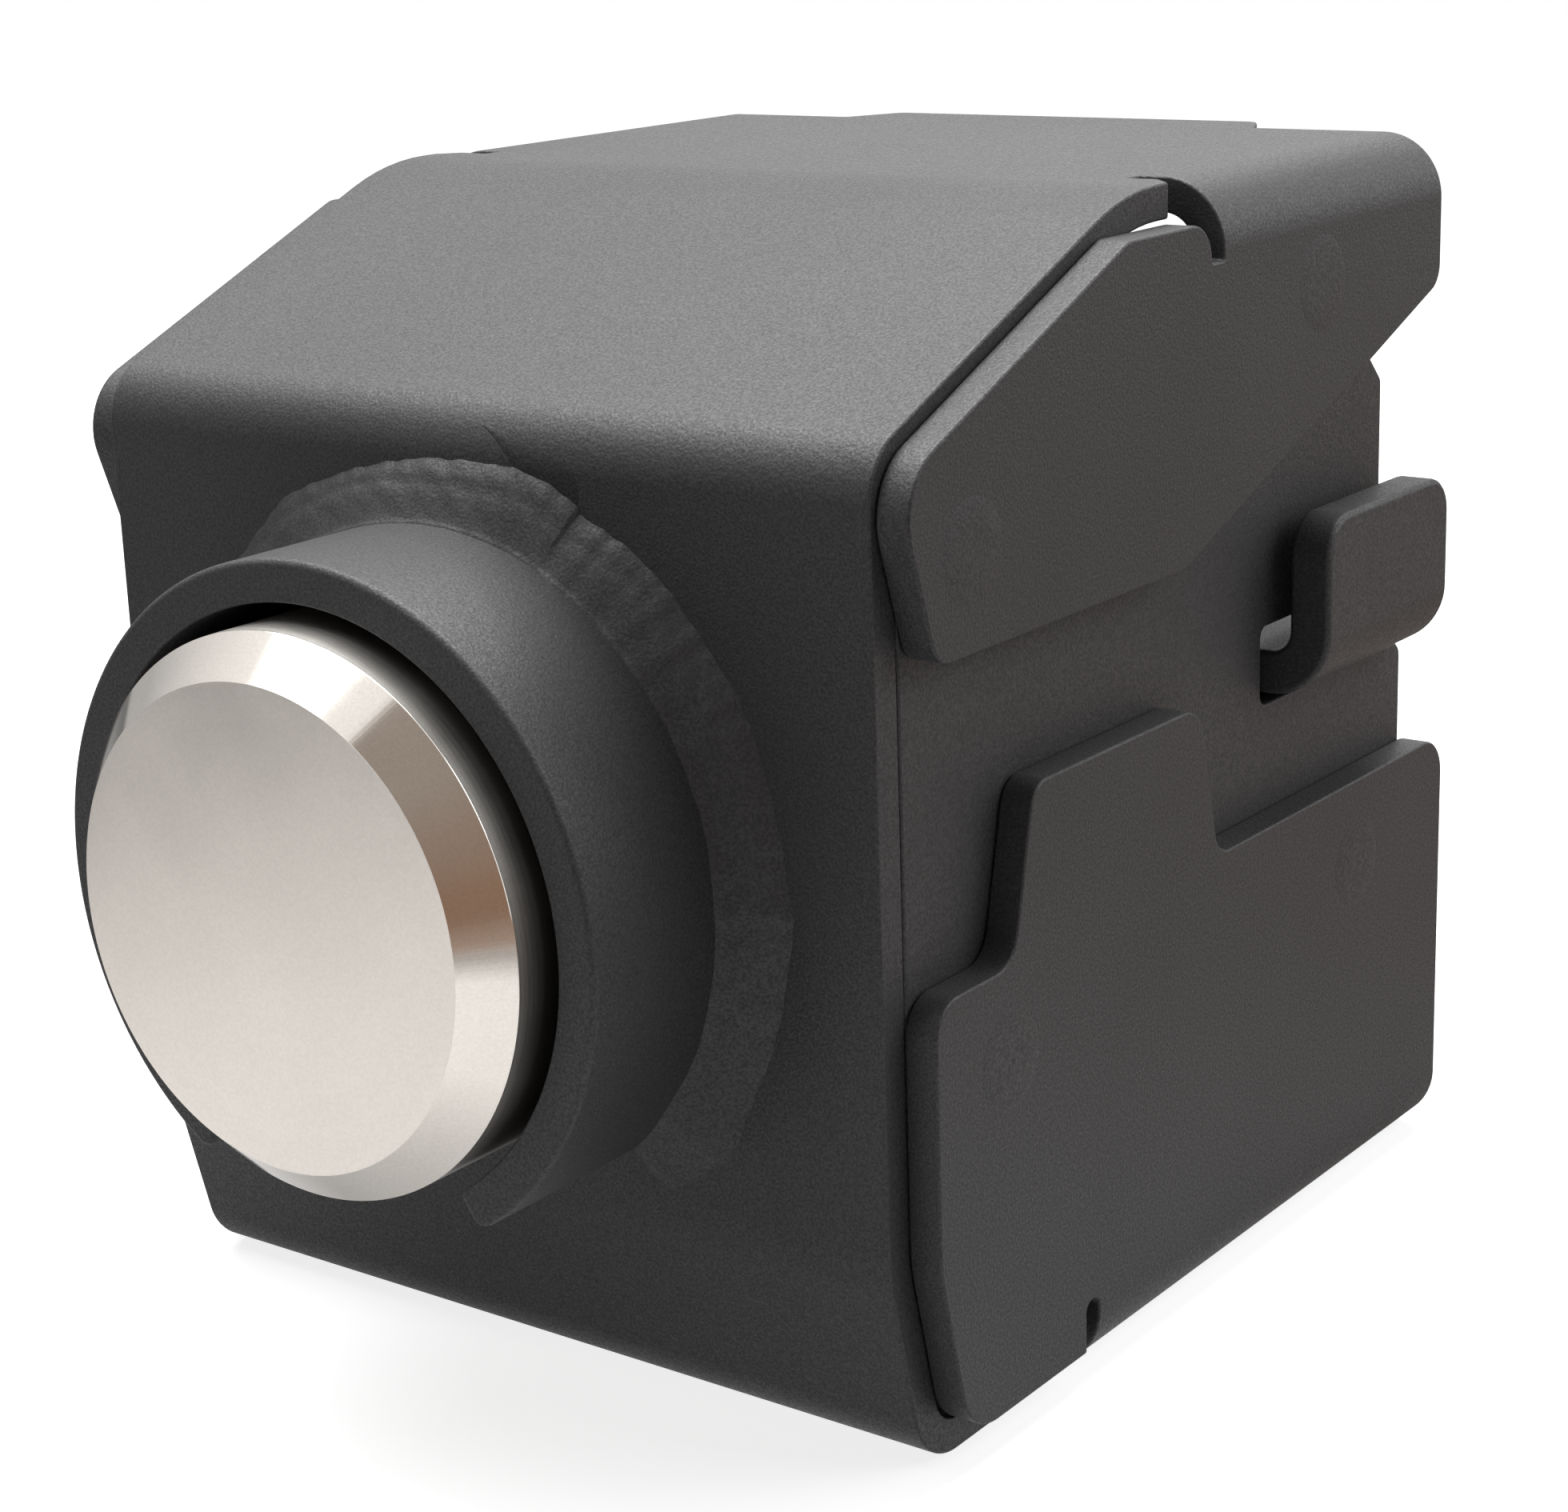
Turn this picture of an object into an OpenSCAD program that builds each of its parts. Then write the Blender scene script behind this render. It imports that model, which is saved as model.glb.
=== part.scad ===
// Steel lock box: a folded and welded housing, open at the back, with a
// sliding hook bar that a hidden-shackle puck padlock holds from the front.
// X runs across the front, Y runs from the front to the back, Z is up.
// The origin is under the middle of the whole, on the bottom plane. Sizes below that
// end in _y are measured from the front face; placed() moves each piece from there.

/* [Housing] */
// Width of the front sheet and distance over the side plates
front_w = 127; // [124:0.5:132]
// Height over the top and bottom plates
box_h = 156; // [154:0.5:160]
// Sheet thickness of the shell and side plates
sheet_t = 4.76; // [4.5:0.02:5]
// Inside radius of the bends between plates and wings
bend_r = 4.5; // [4:0.1:5]
// Where the top plate ends at the back
top_back_y = 140.2; // [139.5:0.1:142]
// Where the bottom plate and the lower wings end at the back
bottom_back_y = 144.6; // [143:0.1:146]
// Where the slope meets the top plate
slope_top_y = 58; // [56:0.5:59]
// Height where the slope meets the front sheet
slope_foot_z = 131.6; // [131:0.2:133]
// Height where the front sheet starts to lean back
lean_z = 29.4; // [28:0.2:31]
// How far the front sheet leans back below that height, in degrees
lean_angle = 13.5; // [12:0.5:15]

/* [Wings] */
// Gap between a side plate and the wing over it
wing_gap = 0.15; // [0.1:0.05:0.3]
// Middle of the bend relief in the top plate and upper wings
upper_relief_y = 73.3; // [72.5:0.1:74]
// Width of the bend reliefs
relief_w = 3.2; // [3:0.1:3.6]
// Diameter of the plug welds
plug_weld_d = 14; // [12:0.5:15]

/* [Side plates] */
// Back edge of a side plate above its slot
plate_back_y = 131.5; // [131:0.5:133]
// Back edge of a side plate below its slot
plate_low_back_y = 139.5; // [138:0.5:140]
// Closed front end of the slot
slot_front_y = 95; // [94:0.2:96]
// Lower edge of the slot
slot_z = 80; // [79.6:0.1:80.5]
// Height of the slot
slot_h = 11.2; // [10.8:0.1:11.6]

/* [Hook bar] */
// Thickness of the hook bar and its lug
bar_t = 6.35; // [6:0.05:6.4]
// Width of the hook bar along Y
bar_w = 38; // [36:0.5:39]
// Front edge of the hook bar
bar_front_y = 97.4; // [96.5:0.1:98]
// Underside of the hook bar
bar_z = 81.1; // [81:0.05:81.3]
// Top of the turned-up hooks
hook_top_z = 107.2; // [104:0.2:110]
// Inside radius of the hooks
hook_r = 3.2; // [3:0.1:3.4]

/* [Collar] */
// Sideways place of the collar and padlock
collar_x = -2; // [-3:0.5:0]
// Height of the middle of the collar and padlock
collar_z = 74.1; // [73.5:0.1:74.5]
// Outside diameter of the collar pipe
collar_od = 88.9; // [88:0.1:90]
// Wall of the collar pipe
collar_wall = 5.5; // [5.2:0.1:5.7]
// Length of the collar in front of the front sheet
collar_l = 28.2; // [26:0.2:30]
// Half of the angle that the collar is open at the bottom
collar_gap_half = 32; // [30:1:36]
// Weld leg on the front sheet
weld_leg_sheet = 8.2; // [7:0.2:9]
// Weld leg on the pipe
weld_leg_pipe = 5; // [4.6:0.2:7]

/* [Padlock] */
// Diameter of the padlock body
puck_d = 73; // [72:0.5:74]
// Diameter of its flat front face
puck_face_d = 62.6; // [60:0.2:64]
// Length from its back to its flat front face
puck_l = 36; // [34:0.5:37]
// Depth of the slanted rim around the front face
puck_rim = 5.3; // [4:0.1:6]
// Gap between the padlock's back and the front sheet
puck_gap = 1.5; // [1.2:0.1:2]
// Diameter of the shackle pin
pin_d = 11; // [10.5:0.1:11]
// Orbit radius of the cam stud that drives the pin
stud_orbit = 7.5; // [7.3:0.1:7.5]
// Diameter of the cam stud
stud_d = 5; // [4.8:0.1:5]
// Diameter of the key plug
plug_d = 12; // [11.6:0.1:12]
// Diameter of the lock cylinder housing
cylinder_d = 23; // [22.8:0.1:23.4]
// Number of pin stacks in the lock cylinder
stacks = 5; // [3:1:5]

/* [Hidden] */
$fn = 96;

// Degrees between the points of a rounded corner
arc_step = 6;
// Sideways reach of cutting shapes past what they cut
over = 1;
half_w = front_w / 2;
outer_r = bend_r + sheet_t;
wing_in = half_w + wing_gap;
wing_out = wing_in + sheet_t;
bend_x = wing_out - outer_r;

// Outer line of the shell from the top's back end, round the front, to the bottom's back end
lean_run = lean_z * tan(lean_angle);
shell_line = [
    [top_back_y, box_h],
    [slope_top_y, box_h],
    [0, slope_foot_z],
    [0, lean_z],
    [lean_run, 0],
    [bottom_back_y, 0],
];
shell_radii = [0, 40, 9, 28, outer_r, 0];
slope_angle = atan((box_h - slope_foot_z) / slope_top_y);

// Tab at the back of the top plate
tab_l = 9.5;
tab_base = 75;
tab_tip = 63;

// Middle of the whole length, from the padlock's face to the tab
middle_y = (top_back_y + tab_l - puck_gap - puck_l) / 2;

// Reliefs
relief_in_x = bend_x - 3.5;
upper_relief_z = 144.6;
lower_relief_y = 40.2;
lower_relief_z = 11.7;
lower_free_z = 4.5;
relief_front = upper_relief_y - relief_w / 2;
relief_back = upper_relief_y + relief_w / 2;

// Side plates
plate_gap = 0.25;
plate_top_z = box_h - outer_r - 0.3;
plate_low_z = outer_r + 0.3;
plate_foot_y = lower_relief_y - 3;
plate_chamfer_z = 121.1;
slot_top_z = slot_z + slot_h;

// Hook bar, tongue and lug
bar_back_y = bar_front_y + bar_w;
bar_top_z = bar_z + bar_t;
hook_or = hook_r + bar_t;
hook_bend_x = half_w - 0.2;
tongue_w = 44;
tongue_front_y = 9;
ledge_l = 60;
ledge_w = 10;
ledge_t = 6;
ledge_gap = 0.1;

// Padlock body and lock cylinder
puck_r = puck_d / 2;
puck_back_y = -puck_gap;
plug_x = collar_x + 4;
plug_y = puck_back_y - 18.5;
plug_play = 0.04;
cylinder_r = cylinder_d / 2;
cylinder_x = plug_x + 1.6;
cylinder_reach = cylinder_x - collar_x + cylinder_r;
cylinder_low_z = collar_z - sqrt(puck_r * puck_r - cylinder_reach * cylinder_reach) + 0.5;
cylinder_top_z = collar_z - 12.2;
plug_top_z = cylinder_top_z + 1.2;

// Cam and stud
cam_r = cylinder_r - (cylinder_x - plug_x) - 0.2;
cam_t = 3;
cam_top_z = plug_top_z + cam_t;
cavity_top_z = cam_top_z + 0.4;
stud_offset = stud_orbit / sqrt(2);
stud_seat_r = 1.5;
stud_top_z = collar_z - 0.8;
stud_play = 0.35;

// Recess for the lug and the pin across it; the pin moves by travel when the plug turns by 90 degrees
travel = 2 * stud_offset;
pin_play = 0.05;
pin_l = 23;
pin_y = plug_y + (stud_orbit + stud_offset) / 2;
recess_w = sheet_t + 1.24;
recess_x1 = plug_x - cam_r - 1.5;
recess_x0 = recess_x1 - recess_w;
recess_half = 13;
pin_tip_x = recess_x1 + 0.3;
pin_blind = travel - recess_w + 0.7;

// Lug
lug_x = (recess_x0 + recess_x1) / 2;
lug_half = 11.5;
lug_tip_y = pin_y - 10.2;
lug_tail_y = 46;
lug_slot_w = sheet_t + 3;
lug_hole_r = pin_d / 2 + 1;

// Pin stacks, from the open end of the cylinder inwards
stack_pitch = 3.4;
stack_first_z = cylinder_low_z + 2.8;
chamber_r = 1.3;
stack_r = 1.24;
driver_l = 2.6;
driver_x = plug_x + plug_d / 2 + 0.15;
cover_t = 0.8;
cover_x = cylinder_x + cylinder_r - cover_t - 0.6;
key_cuts = [1.4, 2.2, 0.9, 1.8, 1.2];
clip_t = 0.8;
clip_z = cylinder_top_z + 0.1;
screw_z = cylinder_top_z - 6;

// ---- Outlines -------------------------------------------------------------

function unit(v) = v / norm(v);

// Arc of radius r that rounds the corner b between a and c
function corner_arc(a, b, c, r) =
    let (
        u = unit(a - b),
        v = unit(c - b),
        half = acos(max(-1, min(1, u * v))) / 2,
        middle = b + unit(u + v) * r / sin(half),
        from = b + u * r / tan(half) - middle,
        turn = 180 - 2 * half,
        side = sign(cross(u, v)),
        start = atan2(from.y, from.x),
        count = max(2, ceil(turn / arc_step))
    )
    [for (i = [0:count]) middle + r * [cos(start - side * turn * i / count),
                                       sin(start - side * turn * i / count)]];

// Closed outline through the points, with a radius for each corner
function rounded(points, radii) =
    let (n = len(points))
    [for (i = [0:n - 1])
        each (radii[i] == 0 ? [points[i]]
              : corner_arc(points[(i + n - 1) % n], points[i], points[(i + 1) % n], radii[i]))];

// Corner b moved inwards so that both its legs move by d
function inset_corner(a, b, c, d) =
    let (u = unit(a - b), v = unit(c - b), half = acos(u * v) / 2)
    b + unit(u + v) * d / sin(half);

// The shell line moved inwards by d
function inset_line(d) =
    let (n = len(shell_line))
    [for (i = [0:n - 1])
        i == 0 ? shell_line[0] - [0, d]
        : i == n - 1 ? shell_line[n - 1] + [0, d]
        : inset_corner(shell_line[i - 1], shell_line[i], shell_line[i + 1], d)];

function reversed(list) = [for (i = [len(list) - 1:-1:0]) list[i]];

// A YZ outline made solid from x0 to x1
module along_x(x0, x1) {
    translate([x0, 0, 0]) rotate([90, 0, 90]) linear_extrude(x1 - x0) children();
}

// An XZ outline made solid from y0 to y1
module along_y(y0, y1) {
    translate([0, y1, 0]) rotate([90, 0, 0]) linear_extrude(y1 - y0) children();
}

module box(low, high) {
    translate(low) cube(high - low);
}

// Cylinder along X from x0 to x1 at [y, z]
module rod_x(x0, x1, y, z, r) {
    translate([x0, y, z]) rotate([0, 90, 0]) cylinder(h = x1 - x0, r = r);
}

// Cylinder along Y from y0 to y1 at [x, z]
module rod_y(y0, y1, x, z, r) {
    translate([x, y0, z]) rotate([-90, 0, 0]) cylinder(h = y1 - y0, r = r);
}

module both_sides() {
    children();
    mirror([1, 0, 0]) children();
}

// Moves a piece from the front face's coordinates to the model's origin
module placed() {
    translate([0, -middle_y, 0]) children();
}

// ---- Folded shell ---------------------------------------------------------

// Front strip: top plate, slope, front and bottom plate, as one bent sheet
module shell_strip() {
    inner = inset_line(sheet_t);
    inner_radii = [for (r = shell_radii) max(0, r - sheet_t)];
    outline = concat(shell_line, reversed(inner));
    along_x(-half_w, half_w)
        polygon(rounded(outline, concat(shell_radii, reversed(inner_radii))));
}

// Quarter bend from a level plate into a wing that rises from it
module quarter_bend() {
    difference() {
        circle(r = outer_r);
        circle(r = bend_r);
        translate([-outer_r - over, -outer_r - over]) square([outer_r + over, 2 * outer_r + 2 * over]);
        translate([-outer_r - over, 0]) square([2 * outer_r + 2 * over, outer_r + over]);
    }
}

module upper_bend() {
    along_y(relief_back, top_back_y)
        translate([bend_x, box_h - outer_r]) mirror([0, 1]) quarter_bend();
}

module lower_bend() {
    along_y(lower_relief_y + relief_w / 2, bottom_back_y)
        translate([bend_x, outer_r]) quarter_bend();
}

// Places of the plug welds, as [y, z]
upper_plugs = [[14, 118.6], [102.7, 139]];
lower_plugs = [[20.7, 52.3], [115.8, 51.9]];

module plug_rods(places) {
    for (place = places)
        rod_x(half_w, wing_out, place.x, place.y, plug_weld_d / 2);
}

// Upper wing: its front part hangs free of the slope, its back part carries on from the bend
module upper_wing() {
    top = box_h - outer_r;
    free_top = box_h - 5.2;
    tip_y = -1.3;
    slope_drop = 1.9 / cos(slope_angle);
    tip_z = slope_foot_z - slope_drop + tip_y * tan(slope_angle);
    free_y = tip_y + (free_top - tip_z) / tan(slope_angle);
    low_z = 106.2;
    diag_y = 64.9;
    diag_z = 134.5;
    outline = [
        [tip_y, tip_z],
        [free_y, free_top],
        [relief_front, free_top],
        [relief_front, upper_relief_z],
        [relief_back, upper_relief_z],
        [relief_back, top],
        [top_back_y, top],
        [top_back_y, diag_z],
        [diag_y, low_z],
        [6.1, low_z],
    ];
    difference() {
        along_x(wing_in, wing_out) polygon(rounded(outline, [9, 4, 5, 0, 0, 0, 0, 4, 8, 4]));
        plug_rods(upper_plugs);
    }
}

// Lower wing: a low front part, a raised tab and a long back part on the bend
module lower_wing() {
    front_y = 4.25;
    relief_a = lower_relief_y - relief_w / 2;
    relief_b = lower_relief_y + relief_w / 2;
    step_z = 64.5;
    tab_z = 86.8;
    lean_front = front_y + (lean_z - lower_free_z) * tan(lean_angle);
    outline = [
        [relief_b, outer_r],
        [relief_b, lower_relief_z],
        [relief_a, lower_relief_z],
        [relief_a, lower_free_z],
        [lean_front, lower_free_z],
        [front_y, lean_z],
        [front_y, step_z],
        [21.8, step_z],
        [26.9, tab_z],
        [68.8, tab_z],
        [74, step_z],
        [bottom_back_y, step_z],
        [bottom_back_y, outer_r],
    ];
    difference() {
        along_x(wing_in, wing_out)
            polygon(rounded(outline, [0, 1.5, 1.5, 0, 8, 20, 5, 5, 4, 5, 4, 6, 0]));
        plug_rods(lower_plugs);
    }
}

// What is cut from the strip so that the wings can bend away from it
module side_trim() {
    box([bend_x, relief_front, box_h - outer_r - over], [half_w + over, top_back_y + over, box_h + over]);
    box([relief_in_x, relief_front, box_h - outer_r], [half_w + over, relief_back, box_h + over]);
    box([bend_x, lower_relief_y - relief_w / 2, -over],
        [half_w + over, bottom_back_y + over, outer_r + over]);
    box([relief_in_x, lower_relief_y - relief_w / 2, -over],
        [half_w + over, lower_relief_y + relief_w / 2, outer_r]);
}

// Tapered tab that carries the top plate on past its back edge
module back_tab() {
    tab_root = 6;
    translate([0, 0, box_h - sheet_t]) linear_extrude(sheet_t)
        polygon(rounded([
            [-tab_base / 2, top_back_y - tab_root],
            [-tab_base / 2, top_back_y],
            [-tab_tip / 2, top_back_y + tab_l],
            [tab_tip / 2, top_back_y + tab_l],
            [tab_base / 2, top_back_y],
            [tab_base / 2, top_back_y - tab_root],
        ], [0, 2, 3, 3, 2, 0]));
}

// Upright slot in the front sheet for the hasp lug
module lug_slot() {
    box([lug_x - lug_slot_w / 2, -over, collar_z - recess_half],
        [lug_x + lug_slot_w / 2, sheet_t + over, collar_z + recess_half]);
}

module folded_shell() {
    color("#3a3a3d") placed() {
        difference() {
            shell_strip();
            both_sides() side_trim();
            lug_slot();
        }
        back_tab();
        both_sides() {
            upper_bend();
            lower_bend();
            upper_wing();
            lower_wing();
        }
    }
}

// ---- Side plates and welds ------------------------------------------------

// Right side plate, in line with the front sheet's edge, with a slot open to the back
module side_plate() {
    inner = inset_line(sheet_t + plate_gap);
    slope_cut_y = inner[2].x + (plate_top_z - inner[2].y) / tan(slope_angle);
    chamfer_y = plate_back_y - (plate_top_z - plate_chamfer_z);
    foot_z = inner[4].y;
    outline = [
        [slope_cut_y, plate_top_z],
        inner[2],
        inner[3],
        inner[4],
        [plate_foot_y, foot_z],
        [plate_foot_y, plate_low_z],
        [plate_low_back_y, plate_low_z],
        [plate_low_back_y, slot_z],
        [slot_front_y, slot_z],
        [slot_front_y, slot_top_z],
        [plate_back_y, slot_top_z],
        [plate_back_y, plate_chamfer_z],
        [chamfer_y, plate_top_z],
    ];
    along_x(half_w - sheet_t, half_w)
        polygon(rounded(outline, [3, 4, 24, 6, 0, 3, 4, 2.5, 1.6, 1.6, 2, 2, 3]));
}

module side_plate_right() {
    color("#343437") placed() side_plate();
}

module side_plate_left() {
    color("#343437") placed() mirror([1, 0, 0]) side_plate();
}

module plug_welds_right() {
    color("#303033") placed() plug_rods(concat(upper_plugs, lower_plugs));
}

module plug_welds_left() {
    color("#303033") placed() mirror([1, 0, 0]) plug_rods(concat(upper_plugs, lower_plugs));
}

// Fillet welds inside, where a side plate meets the front sheet
module seam_welds() {
    stitch_l = 22;
    stitch_leg = 4;
    plate_in = half_w - sheet_t;
    for (z = [38, 98])
        translate([0, 0, z]) linear_extrude(stitch_l)
            polygon([[plate_in, sheet_t], [plate_in, sheet_t + stitch_leg + plate_gap],
                     [plate_in - stitch_leg, sheet_t]]);
}

module seam_welds_right() {
    color("#303033") placed() seam_welds();
}

module seam_welds_left() {
    color("#303033") placed() mirror([1, 0, 0]) seam_welds();
}

// Flat ledge inside a side plate that carries the hook bar
module guide_ledge() {
    plate_in = half_w - sheet_t;
    top = bar_z - ledge_gap;
    box([plate_in - ledge_w, plate_back_y - ledge_l, top - ledge_t], [plate_in, plate_back_y, top]);
}

module guide_ledge_right() {
    color("#303033") placed() guide_ledge();
}

module guide_ledge_left() {
    color("#303033") placed() mirror([1, 0, 0]) guide_ledge();
}

// Fillet welds under both ledges
module ledge_welds() {
    leg = 4;
    plate_in = half_w - sheet_t;
    under = bar_z - ledge_gap - ledge_t;
    color("#303033") placed() both_sides()
        along_y(plate_back_y - ledge_l + 6, plate_back_y - 6)
            polygon([[plate_in, under], [plate_in, under - leg], [plate_in - leg, under]]);
}

// ---- Collar ---------------------------------------------------------------

// Wedge of directions around straight down, from the collar's middle
module low_wedge(half_angle, reach, y0, y1) {
    along_y(y0, y1) translate([collar_x, collar_z])
        polygon([[0, 0], reach * [-sin(half_angle), -cos(half_angle)],
                 reach * [-sin(half_angle), -2 * cos(half_angle)],
                 reach * [sin(half_angle), -2 * cos(half_angle)],
                 reach * [sin(half_angle), -cos(half_angle)]]);
}

module lock_collar() {
    color("#3a3a3d") placed() difference() {
        rod_y(-collar_l, 0, collar_x, collar_z, collar_od / 2);
        rod_y(-collar_l - over, over, collar_x, collar_z, collar_od / 2 - collar_wall);
        low_wedge(collar_gap_half, collar_od, -collar_l - 2 * over, 2 * over);
    }
}

// Fillet weld between the pipe and the front sheet, slightly full in the middle
module collar_weld() {
    pipe_r = collar_od / 2;
    weld_end = collar_gap_half + 3;
    mid_r = pipe_r + 0.58 * weld_leg_sheet;
    mid_h = 0.56 * weld_leg_pipe;
    color("#303033") placed() difference() {
        translate([collar_x, 0, collar_z]) rotate([90, 0, 0]) rotate_extrude()
            polygon([[pipe_r, 0], [pipe_r + weld_leg_sheet, 0], [mid_r, mid_h], [pipe_r, weld_leg_pipe]]);
        low_wedge(weld_end, 2 * collar_od, -collar_l, over);
    }
}

// ---- Hook bar -------------------------------------------------------------

// Bar outline seen from the front: level middle and a quarter bend into the right hook
module bar_profile() {
    translate([-hook_bend_x, bar_z]) square([2 * hook_bend_x, bar_t]);
    both_hooks() {
        translate([hook_bend_x, bar_z + hook_or]) difference() {
            circle(r = hook_or);
            circle(r = hook_r);
            translate([-hook_or - over, -hook_or - over])
                square([hook_or + over, 2 * hook_or + 2 * over]);
            translate([-hook_or - over, 0]) square([2 * hook_or + 2 * over, hook_or + over]);
        }
        translate([hook_bend_x + hook_r, bar_z + hook_or])
            square([bar_t, hook_top_z - bar_z - hook_or]);
    }
}

module both_hooks() {
    children();
    mirror([1, 0]) children();
}

module hook_bar() {
    reach = hook_bend_x + hook_or + over;
    color("#3a3a3d") placed() {
        intersection() {
            along_y(bar_front_y, bar_back_y) bar_profile();
            along_x(-reach, reach) polygon(rounded([
                [bar_front_y, bar_z - over], [bar_back_y, bar_z - over],
                [bar_back_y, hook_top_z], [bar_front_y, hook_top_z],
            ], [0, 0, 5.5, 4.5]));
        }
        box([lug_x - tongue_w / 2, tongue_front_y, bar_z],
            [lug_x + tongue_w / 2, bar_front_y + over, bar_top_z]);
    }
}

// Upright lug under the tongue; its hole takes the shackle pin
module hasp_lug() {
    top = collar_z + lug_half;
    outline = [
        [lug_tip_y, collar_z - lug_half],
        [lug_tail_y, collar_z - lug_half],
        [lug_tail_y, bar_z],
        [tongue_front_y, bar_z],
        [tongue_front_y, top],
        [lug_tip_y, top],
    ];
    color("#8d8f92") placed() difference() {
        along_x(lug_x - sheet_t / 2, lug_x + sheet_t / 2)
            polygon(rounded(outline, [6, 6, 0, 0, 0, 6]));
        rod_x(lug_x - sheet_t, lug_x + sheet_t, pin_y, collar_z, lug_hole_r);
    }
}

// Fillet welds that join the lug to the underside of the tongue
module lug_welds() {
    leg = 4;
    side = sheet_t / 2;
    color("#303033") placed() translate([lug_x, 0, 0]) both_sides()
        along_y(tongue_front_y + 4, lug_tail_y - 3)
            polygon([[side, bar_z], [side + leg, bar_z], [side, bar_z - leg]]);
}

// ---- Padlock body ---------------------------------------------------------

module puck_blank() {
    back_chamfer = 1.2;
    translate([collar_x, puck_back_y, collar_z]) rotate([90, 0, 0]) rotate_extrude($fn = 180)
        polygon([[0, 0], [puck_r - back_chamfer, 0], [puck_r, back_chamfer], [puck_r, puck_l - puck_rim],
                 [puck_face_d / 2, puck_l], [0, puck_l]]);
}

// Window between the cam and the pin, as wide as the stud swings
module stud_window() {
    reach = stud_d / 2 + 0.7;
    box([plug_x - stud_offset - reach, plug_y + stud_offset - reach, cavity_top_z - over],
        [plug_x + stud_offset + reach, plug_y + stud_orbit + reach, collar_z - 0.2]);
}

module puck_body() {
    bore_r = cylinder_r + 0.1;
    color("#c9c5bf") placed() difference() {
        puck_blank();
        box([recess_x0, lug_tip_y - over, collar_z - recess_half], [recess_x1, over, collar_z + recess_half]);
        rod_x(recess_x0 - pin_blind, collar_x + puck_d, pin_y, collar_z, pin_d / 2 + pin_play);
        translate([cylinder_x, plug_y, collar_z - puck_d])
            cylinder(h = cavity_top_z - collar_z + puck_d, r = bore_r);
        stud_window();
        rod_y(plug_y, over, cylinder_x, screw_z, set_screw_r + 0.02);
    }
}

// Plug that closes the outer end of the pin bore
module bore_plug() {
    inner_end = pin_tip_x + pin_l + 1.5;
    sunk = 3;
    color("#b5b1ab") placed()
        rod_x(inner_end, collar_x + puck_r - sunk, pin_y, collar_z, pin_d / 2 + pin_play);
}

// ---- Lock cylinder --------------------------------------------------------

set_screw_r = 2;

function stack_z(i) = stack_first_z + i * stack_pitch;

// Pin chambers, from one distance from the plug's middle to another
module chambers(from, to) {
    for (i = [0:stacks - 1])
        rod_x(plug_x + from, plug_x + to, plug_y, stack_z(i), chamber_r);
}

module cylinder_housing() {
    length = cylinder_top_z - cylinder_low_z;
    color("#b08d57") placed() difference() {
        translate([cylinder_x, plug_y, cylinder_low_z]) cylinder(h = length, r = cylinder_r);
        translate([plug_x, plug_y, cylinder_low_z - over])
            cylinder(h = length + 2 * over, r = plug_d / 2 + plug_play);
        chambers(plug_d / 2 - over, cylinder_d);
        // Flat for the strip that closes the chambers
        box([cover_x, plug_y - cylinder_r, cylinder_low_z + over],
            [cylinder_x + cylinder_d, plug_y + cylinder_r, cylinder_top_z - over]);
        // Dimple for the set screw
        rod_y(plug_y + cylinder_r - 1.2, plug_y + cylinder_d, cylinder_x, screw_z, set_screw_r + 0.1);
    }
}

// Strip that closes the pin chambers
module spring_cover() {
    cover_half = 2.6;
    color("#9a9a96") placed() box([cover_x, plug_y - cover_half, cylinder_low_z + over],
                         [cover_x + cover_t, plug_y + cover_half, cylinder_top_z - over]);
}

module driver_pins() {
    color("#c0a060") placed() for (i = [0:stacks - 1])
        rod_x(driver_x, driver_x + driver_l, plug_y, stack_z(i), stack_r);
}

// Coil springs behind the driver pins, drawn as closed coils
module pin_springs() {
    wire_r = 0.2;
    coil_r = 0.95;
    pitch = 1.9 * wire_r;
    start = driver_x + driver_l;
    coils = floor((cover_x - start - 2 * wire_r) / pitch) + 1;
    color("#d0d0d0") placed() for (i = [0:stacks - 1], j = [0:coils - 1])
        translate([start + wire_r + j * pitch, plug_y, stack_z(i)]) rotate([0, 90, 0])
            rotate_extrude($fn = 32) translate([coil_r, 0]) circle(r = wire_r, $fn = 16);
}

// Set screw that keeps the cylinder in the body
module cylinder_screw() {
    head_y = puck_back_y - 0.8;
    socket_r = 1.15;
    color("#55565a") placed() difference() {
        rod_y(plug_y + cylinder_r - 1, head_y, cylinder_x, screw_z, set_screw_r);
        translate([cylinder_x, head_y + over, screw_z]) rotate([90, 0, 0])
            cylinder(h = 3 + over, r = socket_r, $fn = 6);
    }
}

// ---- Key plug and cam -----------------------------------------------------

square_w = 5;
square_h = 1.8;

module key_plug() {
    keyway_w = 1.9;
    keyway_h = 8;
    keyway_shift = 0.6;
    groove_r = plug_d / 2 - 0.75;
    half = square_w / 2;
    color("#c9a227") placed() difference() {
        union() {
            translate([plug_x, plug_y, cylinder_low_z + 0.3])
                cylinder(h = plug_top_z - cylinder_low_z - 0.3, r = plug_d / 2);
            box([plug_x - half, plug_y - half, plug_top_z - over],
                [plug_x + half, plug_y + half, plug_top_z + square_h]);
        }
        box([plug_x - keyway_h / 2 + keyway_shift, plug_y - keyway_w / 2, cylinder_low_z - over],
            [plug_x + keyway_h / 2 + keyway_shift, plug_y + keyway_w / 2, cylinder_top_z - 1.5]);
        chambers(0.6, plug_d);
        translate([plug_x, plug_y, clip_z]) difference() {
            cylinder(h = clip_t + 0.05, r = plug_d);
            translate([0, 0, -over]) cylinder(h = clip_t + 2 * over, r = groove_r);
        }
        translate([plug_x, plug_y, plug_top_z - 4]) cylinder(h = 8, r = 1.05);
    }
}

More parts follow.
